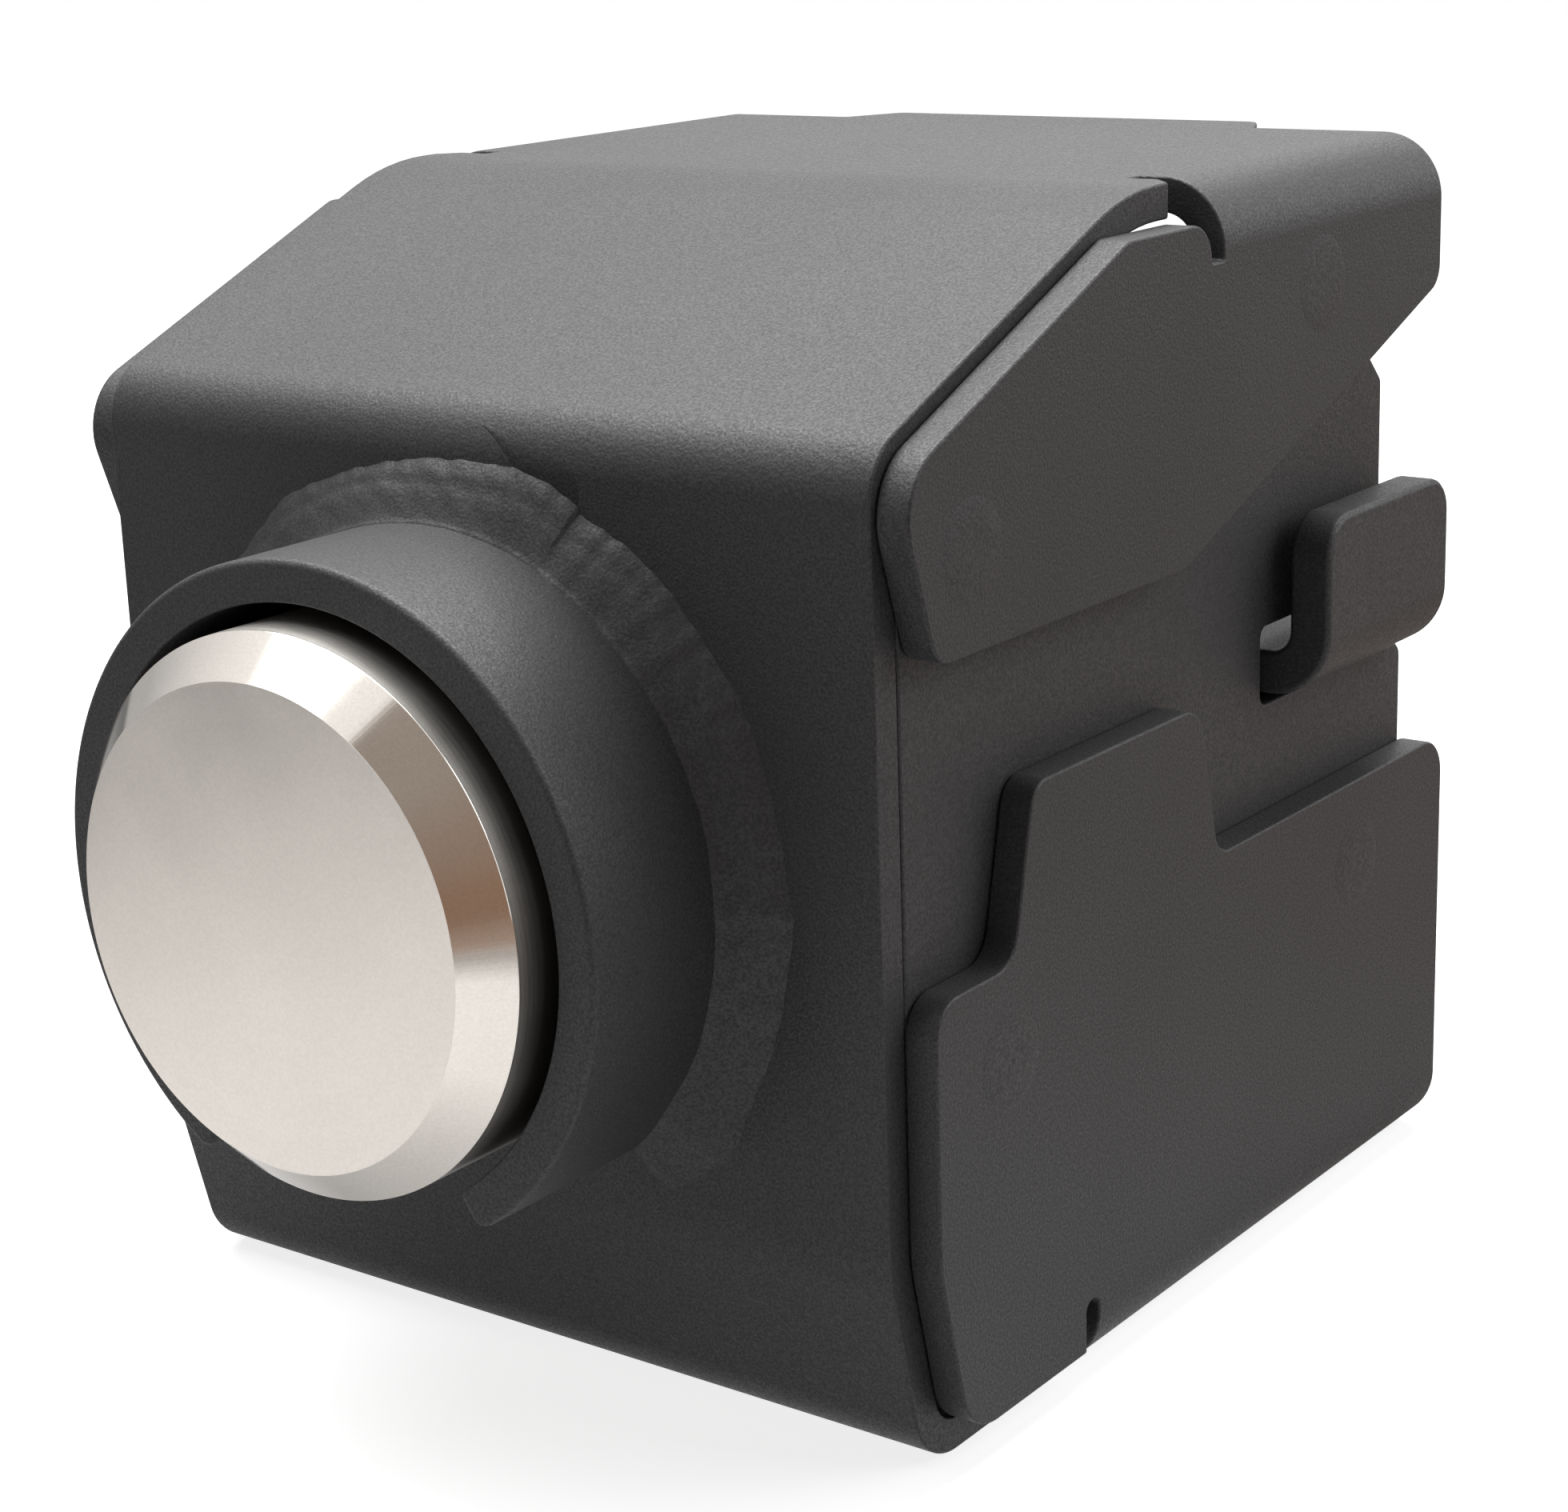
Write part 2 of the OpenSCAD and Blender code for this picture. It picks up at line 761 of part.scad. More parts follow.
module key_pins() {
    pin_end = plug_x + plug_d / 2 - 0.2;
    color("#c9a227") placed() for (i = [0:stacks - 1])
        rod_x(plug_x + key_cuts[i], pin_end, plug_y, stack_z(i), stack_r);
}

// Open clip in the groove at the plug's inner end
module plug_circlip() {
    mouth = 3.2;
    color("#8a8a8a") placed() translate([plug_x, plug_y, clip_z]) difference() {
        cylinder(h = clip_t, r = plug_d / 2 + 1.3);
        translate([0, 0, -over]) cylinder(h = clip_t + 2 * over, r = plug_d / 2 - 0.7);
        translate([-mouth / 2, -plug_d, -over]) cube([mouth, plug_d, clip_t + 2 * over]);
    }
}

// Disc on the plug's square end, with a seat for the stud
module cam_disc() {
    hole_w = square_w + 0.1;
    color("#a8a8a8") placed() translate([plug_x, plug_y, plug_top_z]) difference() {
        cylinder(h = cam_t, r = cam_r);
        translate([-hole_w / 2, -hole_w / 2, -over]) cube([hole_w, hole_w, square_h + 0.05 + over]);
        translate([0, 0, -over]) cylinder(h = cam_t + 2 * over, r = 1.3);
        translate([0, 0, cam_t - 1]) cylinder(h = 1 + over, r = 2.4);
        translate([stud_offset, stud_offset, -over]) cylinder(h = cam_t + 2 * over, r = stud_seat_r);
    }
}

// Stud that pushes the shackle pin, pressed into the cam disc
module cam_stud() {
    color("#8d8f92") placed() translate([plug_x + stud_offset, plug_y + stud_offset, plug_top_z]) {
        cylinder(h = cam_t, r = stud_seat_r);
        translate([0, 0, cam_t]) cylinder(h = stud_top_z - cam_top_z, r = stud_d / 2);
    }
}

module cam_screw() {
    head_h = 0.9;
    shank_l = 3.6;
    color("#55565a") placed() translate([plug_x, plug_y, cam_top_z - 0.95]) difference() {
        union() {
            cylinder(h = head_h, r = 2.3);
            translate([0, 0, -shank_l]) cylinder(h = shank_l + 0.1, r = 1);
        }
        translate([-0.3, -3, head_h / 2]) cube([0.6, 6, head_h]);
    }
}

// Round pin that slides across the recess; a cross groove takes the cam stud
module shackle_pin() {
    r = pin_d / 2;
    nose = 1;
    groove_x = plug_x + stud_offset;
    groove_half = stud_d / 2 + stud_play;
    color("#b9babd") placed() difference() {
        translate([pin_tip_x, pin_y, collar_z]) rotate([0, 90, 0]) rotate_extrude()
            polygon([[0, 0], [r - nose, 0], [r, nose], [r, pin_l - nose], [r - nose, pin_l], [0, pin_l]]);
        box([groove_x - groove_half, pin_y - pin_d, collar_z - pin_d],
            [groove_x + groove_half, pin_y + pin_d, collar_z - 0.3]);
    }
}

folded_shell();
side_plate_left();
side_plate_right();
plug_welds_left();
plug_welds_right();
seam_welds_left();
seam_welds_right();
lock_collar();
collar_weld();
guide_ledge_left();
guide_ledge_right();
ledge_welds();
hook_bar();
hasp_lug();
lug_welds();
puck_body();
bore_plug();
cylinder_housing();
cylinder_screw();
driver_pins();
pin_springs();
spring_cover();
key_plug();
key_pins();
plug_circlip();
cam_disc();
cam_stud();
cam_screw();
shackle_pin();
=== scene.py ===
import math

import bmesh
import bpy
import numpy as np
from mathutils import Matrix, Vector


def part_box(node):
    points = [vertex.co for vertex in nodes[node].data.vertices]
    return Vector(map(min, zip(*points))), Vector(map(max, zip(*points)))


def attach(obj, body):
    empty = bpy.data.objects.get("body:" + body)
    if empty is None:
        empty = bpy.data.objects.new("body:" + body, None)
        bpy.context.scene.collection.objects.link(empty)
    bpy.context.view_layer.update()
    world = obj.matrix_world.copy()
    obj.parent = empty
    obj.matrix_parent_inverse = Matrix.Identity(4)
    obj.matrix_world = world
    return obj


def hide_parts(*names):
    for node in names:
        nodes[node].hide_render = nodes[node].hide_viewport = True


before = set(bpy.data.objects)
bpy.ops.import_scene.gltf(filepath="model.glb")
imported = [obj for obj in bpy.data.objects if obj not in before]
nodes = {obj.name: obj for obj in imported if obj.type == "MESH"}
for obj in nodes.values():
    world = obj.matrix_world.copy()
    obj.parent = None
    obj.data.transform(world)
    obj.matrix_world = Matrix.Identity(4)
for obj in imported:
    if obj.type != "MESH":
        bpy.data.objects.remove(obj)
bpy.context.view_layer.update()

mm = 0.001

# Everything below is in millimetres from the front face, and place() takes it to the frame.
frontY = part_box("lock_collar")[1].y
print("frame loaded")


def place(points):
    # Points in millimetres, scaled to metres and moved back to the front face's place.
    return np.asarray(points, float) * mm + np.array([0.0, frontY, 0.0])


def roundedOutline(corners, radii, degrees=7.5):
    # Every corner becomes an arc of its radius that touches both its sides.
    # Radius 0 keeps the corner. The outline is closed.
    points = []
    count = len(corners)
    corners = np.asarray(corners, float)
    for i in range(count):
        points.append(cornerArc(corners[i - 1], corners[i], corners[(i + 1) % count], radii[i], degrees))
    return np.concatenate(points)


def bisect(before, corner, after):
    # Half the angle between a corner's two sides, the unit vectors along them, and the step
    # inwards along the bisector that keeps a distance of 1 from both.
    u = (before - corner) / np.linalg.norm(before - corner)
    v = (after - corner) / np.linalg.norm(after - corner)
    half = math.acos(max(-1.0, min(1.0, float(u @ v)))) / 2
    return half, u, v, (u + v) / np.linalg.norm(u + v) / math.sin(half)


def cornerArc(before, corner, after, radius, degrees=7.5):
    # The arc that runs from where its circle touches one side to where it touches the other.
    if radius == 0:
        return np.array([corner])
    half, u, v, inward = bisect(before, corner, after)
    middle = corner + inward * radius
    start = corner + u * radius / math.tan(half) - middle
    turn = math.pi - 2 * half
    side = math.copysign(1.0, u[0] * v[1] - u[1] * v[0])
    steps = max(2, math.ceil(math.degrees(turn) / degrees))
    angles = math.atan2(start[1], start[0]) - side * np.linspace(0, turn, steps + 1)
    return middle + radius * np.stack([np.cos(angles), np.sin(angles)], 1)


def bentLine(corners, radii, degrees=4.0):
    # An open line as a list of its arcs, with the two bare ends first and last.
    corners = np.asarray(corners, float)
    arcs = [cornerArc(corners[i - 1], corners[i], corners[i + 1], radii[i], degrees)
            for i in range(1, len(corners) - 1)]
    return [corners[:1]] + arcs + [corners[-1:]]


def newObject(name, data):
    made = bpy.data.objects.new(name, data)
    bpy.context.scene.collection.objects.link(made)
    return made


def newPiece(name, vertices, faces, body, slotName, material, *replaced):
    mesh = bpy.data.meshes.new(name)
    mesh.from_pydata(np.asarray(vertices).tolist(), [], faces)
    mesh.update()
    piece = newObject(name, mesh)
    mesh.materials.append(material)
    mesh.shade_smooth()
    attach(piece, body)
    if replaced:
        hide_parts(*replaced)
    return piece


def faceTo(points, outward):
    # Puts the points in the order that turns the face towards outward (Newell's normal).
    following = np.roll(points, -1, axis=0)
    normal = np.cross(points, following).sum(0)
    return points if float(normal @ np.asarray(outward, float)) >= 0 else points[::-1]


def strips(lineA, lineB):
    # Quads between two lines with the same number of points.
    return [np.array([lineA[i], lineA[i + 1], lineB[i + 1], lineB[i]]) for i in range(len(lineA) - 1)]


def sheetPiece(name, polygons, thickness, edge, body, slotName, material, *replaced):
    # polygons: (points in millimetres, outward direction) of the sheet's outer face.
    # They are joined, given their thickness inwards, and their cut edges are rounded.
    vertices, faces = [], []
    for points, outward in polygons:
        points = faceTo(np.asarray(points, float), outward)
        faces.append(list(range(len(vertices), len(vertices) + len(points))))
        vertices.extend(place(points))
    piece = newPiece(name, vertices, faces, body, slotName, material, *replaced)
    made = bmesh.new()
    made.from_mesh(piece.data)
    bmesh.ops.remove_doubles(made, verts=made.verts, dist=2e-6)
    made.to_mesh(piece.data)
    made.free()
    solid = piece.modifiers.new("thickness", "SOLIDIFY")
    solid.thickness = thickness * mm
    solid.offset = -1
    solid.use_even_offset = True
    bevel = piece.modifiers.new("edges", "BEVEL")
    bevel.width = edge * mm
    bevel.segments = 3
    bevel.limit_method = "ANGLE"
    bevel.angle_limit = math.radians(32)
    bevel.use_clamp_overlap = False
    bevel.miter_outer = "MITER_ARC"
    evenShading(piece)


def gridFaces(points, tube):
    # Quads between neighbouring rows and columns of a (rows, columns, 3) grid.
    rows, columns = points.shape[:2]
    index = np.arange(rows * columns).reshape(rows, columns)
    closed = np.concatenate([index, index[:, :1]], 1) if tube else np.concatenate([index, index[:1]])
    quads = np.stack([closed[:-1, :-1], closed[1:, :-1], closed[1:, 1:], closed[:-1, 1:]], -1)
    caps = [index[0].tolist(), index[-1, ::-1].tolist()] if tube else []
    return quads.reshape(-1, 4).tolist() + caps


def gridPiece(name, grids, body, slotName, material, *replaced, tube=False):
    # grids: arrays (rows, columns, 3) in millimetres, each one closed surface of the piece.
    # The last row joins the first. In a tube the last column joins the first instead, and
    # one face closes each end.
    vertices, faces = [], []
    for points in grids:
        start = sum(len(part) for part in vertices)
        faces += [[start + corner for corner in face] for face in gridFaces(points, tube)]
        vertices.append(place(points.reshape(-1, 3)))
    piece = newPiece(name, np.concatenate(vertices), faces, body, slotName, material, *replaced)
    mendMesh(piece)
    evenShading(piece)
    return piece


def mendMesh(piece):
    made = bmesh.new()
    made.from_mesh(piece.data)
    bmesh.ops.remove_doubles(made, verts=made.verts, dist=1e-6)
    bmesh.ops.dissolve_degenerate(made, edges=made.edges, dist=1e-7)
    bmesh.ops.recalc_face_normals(made, faces=made.faces)
    made.to_mesh(piece.data)
    made.free()
    piece.data.shade_smooth()


def evenShading(piece, sharp=None):
    # Normals weighted by face area, so that flat faces shade flat up to their rounded edges.
    if sharp:
        piece.data.set_sharp_from_angle(angle=math.radians(sharp))
    weighted = piece.modifiers.new("shading", "WEIGHTED_NORMAL")
    weighted.weight = 100
    weighted.keep_sharp = bool(sharp)


def mirrored(points):
    return np.asarray(points, float) * np.array([-1.0, 1.0, 1.0])


def wave(*terms):
    # A smooth uneven line: a sum of sines, each (size, turns, shift).
    return lambda t: sum(size * np.sin(turns * t + shift) for size, turns, shift in terms)


def makeNode(tree, kind, inputs, **settings):
    # A node whose inputs are links to other nodes' outputs, or plain numbers and colours.
    node = tree.nodes.new("ShaderNode" + kind)
    for label, value in settings.items():
        setattr(node, label, value)
    for label, value in inputs.items():
        if isinstance(value, bpy.types.NodeSocket):
            tree.links.new(value, node.inputs[label])
        else:
            node.inputs[label].default_value = value
    return node.outputs


def mathNode(tree, operation, *values):
    return makeNode(tree, "Math", dict(enumerate(values)), operation=operation)[0]


def product(tree, a, b):
    return mathNode(tree, "MULTIPLY", a, b)


def partsOf(tree, vector):
    return makeNode(tree, "SeparateXYZ", {0: vector})


def noiseNode(tree, vector, scale, detail=2.0, roughness=0.5):
    return makeNode(tree, "TexNoise", {"Vector": vector, "Scale": scale, "Detail": detail,
                                       "Roughness": roughness})["Fac"]


def rampNode(tree, value, low, high, toLow=0.0, toHigh=1.0):
    return makeNode(tree, "MapRange", {"Value": value, "From Min": low, "From Max": high,
                                       "To Min": toLow, "To Max": toHigh})["Result"]


def mixedColor(tree, factor, color, other):
    return makeNode(tree, "Mix", {0: factor, 6: color, 7: other}, data_type="RGBA")[2]


def distanceTo(tree, vector, spot):
    return makeNode(tree, "VectorMath", {0: vector, 1: spot}, operation="DISTANCE")["Value"]


def tinted(tree, color, factor):
    # The colour times a factor that changes over the surface.
    return makeNode(tree, "VectorMath", {0: color, "Scale": factor}, operation="SCALE")["Vector"]


def bumpFrom(tree, height, strength, distance):
    return makeNode(tree, "Bump", {"Height": height, "Strength": strength, "Distance": distance})["Normal"]


def objectVector(tree, centre=None):
    source = tree.nodes.new("ShaderNodeTexCoord").outputs["Object"]
    if centre is None:
        return source
    return makeNode(tree, "Mapping", {"Vector": source, "Location": [-c for c in centre]})["Vector"]


noiseBand = (0.3, 0.7)          # holds most of a noise's values

coat = {
    "color": (0.042, 0.0412, 0.0428),
    # a darker colour, for the weld's run-out
    "runOutColor": (0.034, 0.033, 0.035),
    "grain": 0.36,              # millimetres
    "depth": 1.5,
    "coarse": 0.35,             # scale of the coarse grains, as a share of the fine ones'
    "heights": (0.7, 0.5),      # of the fine and the coarse grains
    "cloudScale": 28.0,         # of the film's slow unevenness
    "cloud": (0.93, 1.07),
    "speck": (0.38, 0.68, 0.58, 1.5),       # the fine grains' noise, low and high, and the tones
    "roughness": (0.35, 0.7, 0.62, 0.4),    # or the roughness that it turns into
    "bump": (0.6, 0.00012),     # strength and distance
}


def makeCoatGroup():
    # Powder coat: grains a fraction of a millimetre wide, some of them flat and shiny,
    # over a slow unevenness of the film.
    group = bpy.data.node_groups.new("coatGrain", "ShaderNodeTree")
    group.interface.new_socket("Vector", in_out="INPUT", socket_type="NodeSocketVector")
    for label, value in (("Grain Size", 0.45), ("Grain Depth", 1.0)):
        socket = group.interface.new_socket(label, in_out="INPUT", socket_type="NodeSocketFloat")
        socket.default_value = value
    for label in ("Height", "Shade", "Roughness"):
        group.interface.new_socket(label, in_out="OUTPUT", socket_type="NodeSocketFloat")
    inside, outside = group.nodes.new("NodeGroupInput"), group.nodes.new("NodeGroupOutput")
    vector = inside.outputs["Vector"]
    scale = mathNode(group, "DIVIDE", 1000.0, inside.outputs["Grain Size"])
    fine = noiseNode(group, vector, scale, 2.0, 0.55)
    coarse = noiseNode(group, vector, product(group, scale, coat["coarse"]), 1.0)
    slow = noiseNode(group, vector, coat["cloudScale"], 2.0)
    fineHeight, coarseHeight = coat["heights"]
    grain = mathNode(group, "ADD", product(group, fine, fineHeight), product(group, coarse, coarseHeight))
    group.links.new(product(group, grain, inside.outputs["Grain Depth"]), outside.inputs["Height"])
    speck = rampNode(group, fine, *coat["speck"])
    cloud = rampNode(group, slow, *noiseBand, *coat["cloud"])
    group.links.new(product(group, speck, cloud), outside.inputs["Shade"])
    group.links.new(rampNode(group, fine, *coat["roughness"]), outside.inputs["Roughness"])
    return group


coatGroup = makeCoatGroup()


def newMaterial(name):
    material = bpy.data.materials.new(name)
    material.use_nodes = True
    tree = material.node_tree
    return material, tree, tree.nodes["Principled BSDF"]


def dress(tree, shader, color, shade, roughness, normal):
    tree.links.new(tinted(tree, color, shade), shader.inputs["Base Color"])
    tree.links.new(roughness, shader.inputs["Roughness"])
    tree.links.new(normal, shader.inputs["Normal"])


def coatMaterial(name, color, grainSize, depth, specular=0.4):
    material, tree, shader = newMaterial(name)
    height, shade, roughness = makeNode(tree, "Group", {
        "Vector": objectVector(tree), "Grain Size": grainSize, "Grain Depth": depth}, node_tree=coatGroup)
    dress(tree, shader, color, shade, roughness, bumpFrom(tree, height, *coat["bump"]))
    shader.inputs["Specular IOR Level"].default_value = specular
    return material


sheetCoat, plateCoat, collarCoat = (coatMaterial(name, coat["color"], coat["grain"], coat["depth"])
                                    for name in ("coatedSheet", "coatedPlate", "coatedCollar"))
barCoat = coatMaterial("coatedBar", coat["color"], coat["grain"], 1.4)
weldCoat = coatMaterial("coatedWeld", coat["color"], 0.4, coat["depth"])
# The weld's run-out: a darker coat colour and a lower specular level.
runOutCoat = coatMaterial("coatedRunOut", coat["runOutColor"], coat["grain"], coat["depth"], specular=0.28)


turned = {
    "stain": (55.0, 3.0),           # scale and detail
    "stainTones": (0.95, 1.03),
    "grain": (2600.0, 1.0),
    "grainTones": (0.965, 1.035),
    "swing": 0.15,                  # of the roughness, as a share of it
    "bump": 0.35,
}


def turnedMaterial(name, color, roughness, ringDepth, centre, ringScale=3.0, chatter=0.0):
    # Turned metal: rings about the Y axis through centre, worked out from the distance to it.
    # Chatter marks run across the rings, from the angle about the same axis.
    material, tree, shader = newMaterial(name)
    vector = objectVector(tree, centre)
    x, y, z = partsOf(tree, vector)
    radius = mathNode(tree, "SQRT", mathNode(tree, "ADD", product(tree, x, x), product(tree, z, z)))
    ringPlace = makeNode(tree, "CombineXYZ", {"X": product(tree, radius, 1000.0 * ringScale),
                                              "Y": product(tree, y, 1000.0 * ringScale)})
    rings = noiseNode(tree, ringPlace[0], 1.0, 3.0, 0.6)
    stain = noiseNode(tree, vector, *turned["stain"])
    grain = noiseNode(tree, vector, *turned["grain"])
    shade = product(tree, rampNode(tree, stain, *noiseBand, *turned["stainTones"]),
                    rampNode(tree, grain, *noiseBand, *turned["grainTones"]))
    swing = turned["swing"]
    gloss = rampNode(tree, mathNode(tree, "ADD", rings, stain), 0.6, 1.4,
                     roughness * (1 - swing), roughness * (1 + swing))
    height = rings
    if chatter:
        angle = mathNode(tree, "ARCTAN2", z, x)
        anglePlace = makeNode(tree, "CombineXYZ", {"X": product(tree, angle, chatter)})
        height = mathNode(tree, "ADD", rings, noiseNode(tree, anglePlace[0], 1.0, 1.0))
    dress(tree, shader, color, shade, gloss, bumpFrom(tree, height, turned["bump"], ringDepth))
    shader.inputs["Metallic"].default_value = 1.0
    return material


scratches = {
    "stretch": (1.0, 0.12, 1.0),
    "scale": 900.0,
    "tones": (0.9, 1.08),
    "swing": 0.2,
    "bump": (0.4, 0.00003),
}


def plainMetal(name, color, roughness):
    # Machined metal of the small pieces: fine scratches drawn out along one axis.
    material, tree, shader = newMaterial(name)
    drawn = makeNode(tree, "Mapping", {"Vector": objectVector(tree), "Scale": scratches["stretch"]})
    marks = noiseNode(tree, drawn["Vector"], scratches["scale"], 2.0)
    swing = scratches["swing"]
    gloss = rampNode(tree, marks, *noiseBand, roughness * (1 - swing), roughness * (1 + swing))
    dress(tree, shader, color, rampNode(tree, marks, *noiseBand, *scratches["tones"]), gloss,
          bumpFrom(tree, marks, *scratches["bump"]))
    shader.inputs["Metallic"].default_value = 1.0
    return material


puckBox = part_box("puck_body")
puckCentre = ((puckBox[0].x + puckBox[1].x) / 2, 0.0, (puckBox[0].z + puckBox[1].z) / 2)
faceSteel = turnedMaterial("satinFace", (0.85, 0.79, 0.73), 0.34, 0.00001, puckCentre)
rimSteel = turnedMaterial("polishedRim", (0.85, 0.8, 0.74), 0.1, 0.000006, puckCentre, 6.0, 100.0)
sideSteel = turnedMaterial("turnedSide", (0.55, 0.53, 0.5), 0.45, 0.00001, puckCentre)
bareSteel = plainMetal("groundSteel", (0.42, 0.42, 0.43), 0.38)
brass = plainMetal("machinedBrass", (0.72, 0.52, 0.25), 0.28)
zincSteel = plainMetal("zincSteel", (0.55, 0.56, 0.58), 0.35)
springSteel = plainMetal("springWire", (0.5, 0.5, 0.5), 0.3)
screwBlack = plainMetal("blackScrew", (0.05, 0.05, 0.052), 0.42)
print("materials made")


shell = {
    "halfWidth": 63.5,
    "height": 156.0,
    "sheet": 4.76,
    "bendRadius": 9.26,       # outside
    "wingOuter": 68.41,
    "topBack": 140.2,
    "bottomBack": 144.6,
    "slopeTop": 58.0,
    "slopeFoot": 131.6,
    "lean": 29.4,
    "leanDegrees": 13.5,
    "topBendRadius": 40.0,
    "frontBendRadius": 9.0,
    "leanBendRadius": 28.0,
    "cutEdge": 0.38,
    "upperRelief": (71.7, 74.9, 145.4),    # front, back and bottom of the slit
    "lowerRelief": (38.6, 41.8, 11.7),
    "reliefIn": 3.5,
    "cornerCut": 3.0,
    "tab": (37.5, 33.0, 9.5),              # half width at its root and its tip, length
    "tabCorner": 2.5,
    "upperTip": -1.3,                      # how far the upper wings reach in front
}

upperWing = {
    "tipSetBack": 1.9,      # how far its sloping edge lies under the slope plate's face
    "freeTop": 150.8,
    "backStep": 134.5,
    "low": ((64.9, 106.2), (6.1, 106.2)),
    "radii": (9, 4, 5, 0, 0, 0, 0, 4, 8, 4),
}

lowerWing = {
    "freeLow": 4.5,
    "front": 4.25,
    "top": 64.5,
    "hump": ((21.8, 64.5), (26.9, 86.8), (68.8, 86.8), (74, 64.5)),
    "radii": (0, 1.5, 1.5, 0, 8, 20, 5, 5, 4, 5, 4, 6, 0),
}

lugSlot = {"x": -12.2, "width": 7.76, "half": 13.0, "z": 74.1}
leanSlope = math.tan(math.radians(shell["leanDegrees"]))
bendX = shell["wingOuter"] - shell["bendRadius"]
reliefX = bendX - shell["reliefIn"]

# The sheet's outer face in (y, z), from the top plate's back edge to the bottom plate's
foldLine = [(shell["topBack"], shell["height"]), (shell["slopeTop"], shell["height"]),
            (0, shell["slopeFoot"]), (0, shell["lean"]), (shell["lean"] * leanSlope, 0),
            (shell["bottomBack"], 0)]


def flatFace(points2d, fixed, axis):
    # Points (x, other) of a flat face; fixed is its Y or Z.
    points2d = np.asarray(points2d, float)
    held = np.full(len(points2d), fixed)
    if axis == "z":
        return np.stack([points2d[:, 0], points2d[:, 1], held], 1)
    return np.stack([points2d[:, 0], held, points2d[:, 1]], 1)


def bandFaces(line, crossX, outward):
    # The band that a (y, z) line sweeps across the sheet, cut at each x in crossX.
    made = []
    for x0, x1 in zip(crossX[:-1], crossX[1:]):
        a = np.column_stack([np.full(len(line), x0), line])
        b = np.column_stack([np.full(len(line), x1), line])
        made += [(quad, outward) for quad in strips(a, b)]
    return made


def sideFace(outline, x):
    # A (y, z) outline as a flat face that looks to the right.
    return np.column_stack([np.full(len(outline), x), outline]), (1, 0, 0)


def quarterBend(y0, y1, centre, radius, up, steps=23):
    # Quarter turn of the radius about centre (x, z), from a level plate to an upright one.
    angles = np.linspace(90, 0, steps) * np.pi / 180
    x = centre[0] + radius * np.cos(angles)
    z = centre[1] + up * radius * np.sin(angles)
    a, b = (np.column_stack([x, np.full(len(x), y), z]) for y in (y0, y1))
    middle = np.array([centre[0], (y0 + y1) / 2, centre[1]])
    return [(quad, quad.mean(0) - middle) for quad in strips(a, b)]


def onBothSides(faces):
    return faces + [(mirrored(points), mirrored(outward)) for points, outward in faces]


def plateOutline(rightSide, startY, z):
    # A level plate from its right side and the mirror image of that.
    leftSide = rightSide[::-1] * np.array([-1.0, 1.0])
    return flatFace(np.concatenate([rightSide, leftSide, [(lugSlot["x"], startY)]]), z, "z")


def makeShell():
    # The bent side line swept along X, in flat bands and arcs. The front, top and bottom
    # plates are flat outlines, and the wings hang on quarter turns.
    s = shell
    half, top = s["halfWidth"], s["height"]
    radii = [0, s["topBendRadius"], s["frontBendRadius"], s["leanBendRadius"], s["bendRadius"], 0]
    _, slopeArc, frontArc, leanArc, footArc, _ = bentLine(foldLine, radii)
    cross = [-half, lugSlot["x"], half]
    faces = []
    for arc, outward in ((slopeArc, (0, -0.2, 1)), (frontArc, (0, -1, 1)), (leanArc, (0, -1, -0.2)),
                         (footArc, (0, -1, -1)), (np.array([slopeArc[-1], frontArc[0]]), (0, -0.4, 1)),
                         (np.array([leanArc[-1], footArc[0]]), (0, -1, -0.2))):
        faces += bandFaces(arc, cross, outward)

    # Front, in two halves that meet in the middle of the lug's slot
    zTop, zLow = frontArc[-1][1], leanArc[0][1]
    slotTop, slotLow = lugSlot["z"] + lugSlot["half"], lugSlot["z"] - lugSlot["half"]
    for side in (-1, 1):
        edge = lugSlot["x"] + side * lugSlot["width"] / 2
        outline = [(side * half, zTop), (lugSlot["x"], zTop), (lugSlot["x"], slotTop), (edge, slotTop),
                   (edge, slotLow), (lugSlot["x"], slotLow), (lugSlot["x"], zLow), (side * half, zLow)]
        faces.append((flatFace(outline, 0, "y"), (0, -1, 0)))

    # Top plate with its reliefs, cut corners and tab
    front, back, _ = s["upperRelief"]
    root, tip, length = s["tab"]
    cut = s["cornerCut"]
    startY = slopeArc[0][0]
    tabEnd = cornerArc(np.array([root, s["topBack"]]), np.array([tip, s["topBack"] + length]),
                       np.array([0.0, s["topBack"] + length]), s["tabCorner"])
    rightSide = np.concatenate([
        [(half, startY), (half, front - cut), (half - cut, front), (reliefX, front), (reliefX, back),
         (bendX, back), (bendX, s["topBack"]), (root, s["topBack"])], tabEnd])
    faces.append((plateOutline(rightSide, startY, top), (0, 0, 1)))

    # Bottom plate with its reliefs
    front, back, _ = s["lowerRelief"]
    startY = footArc[-1][0]
    rightSide = np.array([(half, startY), (half, front), (reliefX, front), (reliefX, back), (bendX, back),
                          (bendX, s["bottomBack"])])
    faces.append((plateOutline(rightSide, startY, 0), (0, 0, -1)))

    bend = s["bendRadius"]
    for outline, front, back, centreZ, up in (
            (upperWingOutline(), s["upperRelief"][1], s["topBack"], top - bend, 1),
            (lowerWingOutline(), s["lowerRelief"][1], s["bottomBack"], bend, -1)):
        faces += onBothSides([sideFace(outline, s["wingOuter"])]
                             + quarterBend(front, back, (bendX, centreZ), bend, up))
    sheetPiece("foldedShell", faces, s["sheet"], s["cutEdge"], "housing", "coated_shell", sheetCoat,
               "folded_shell")


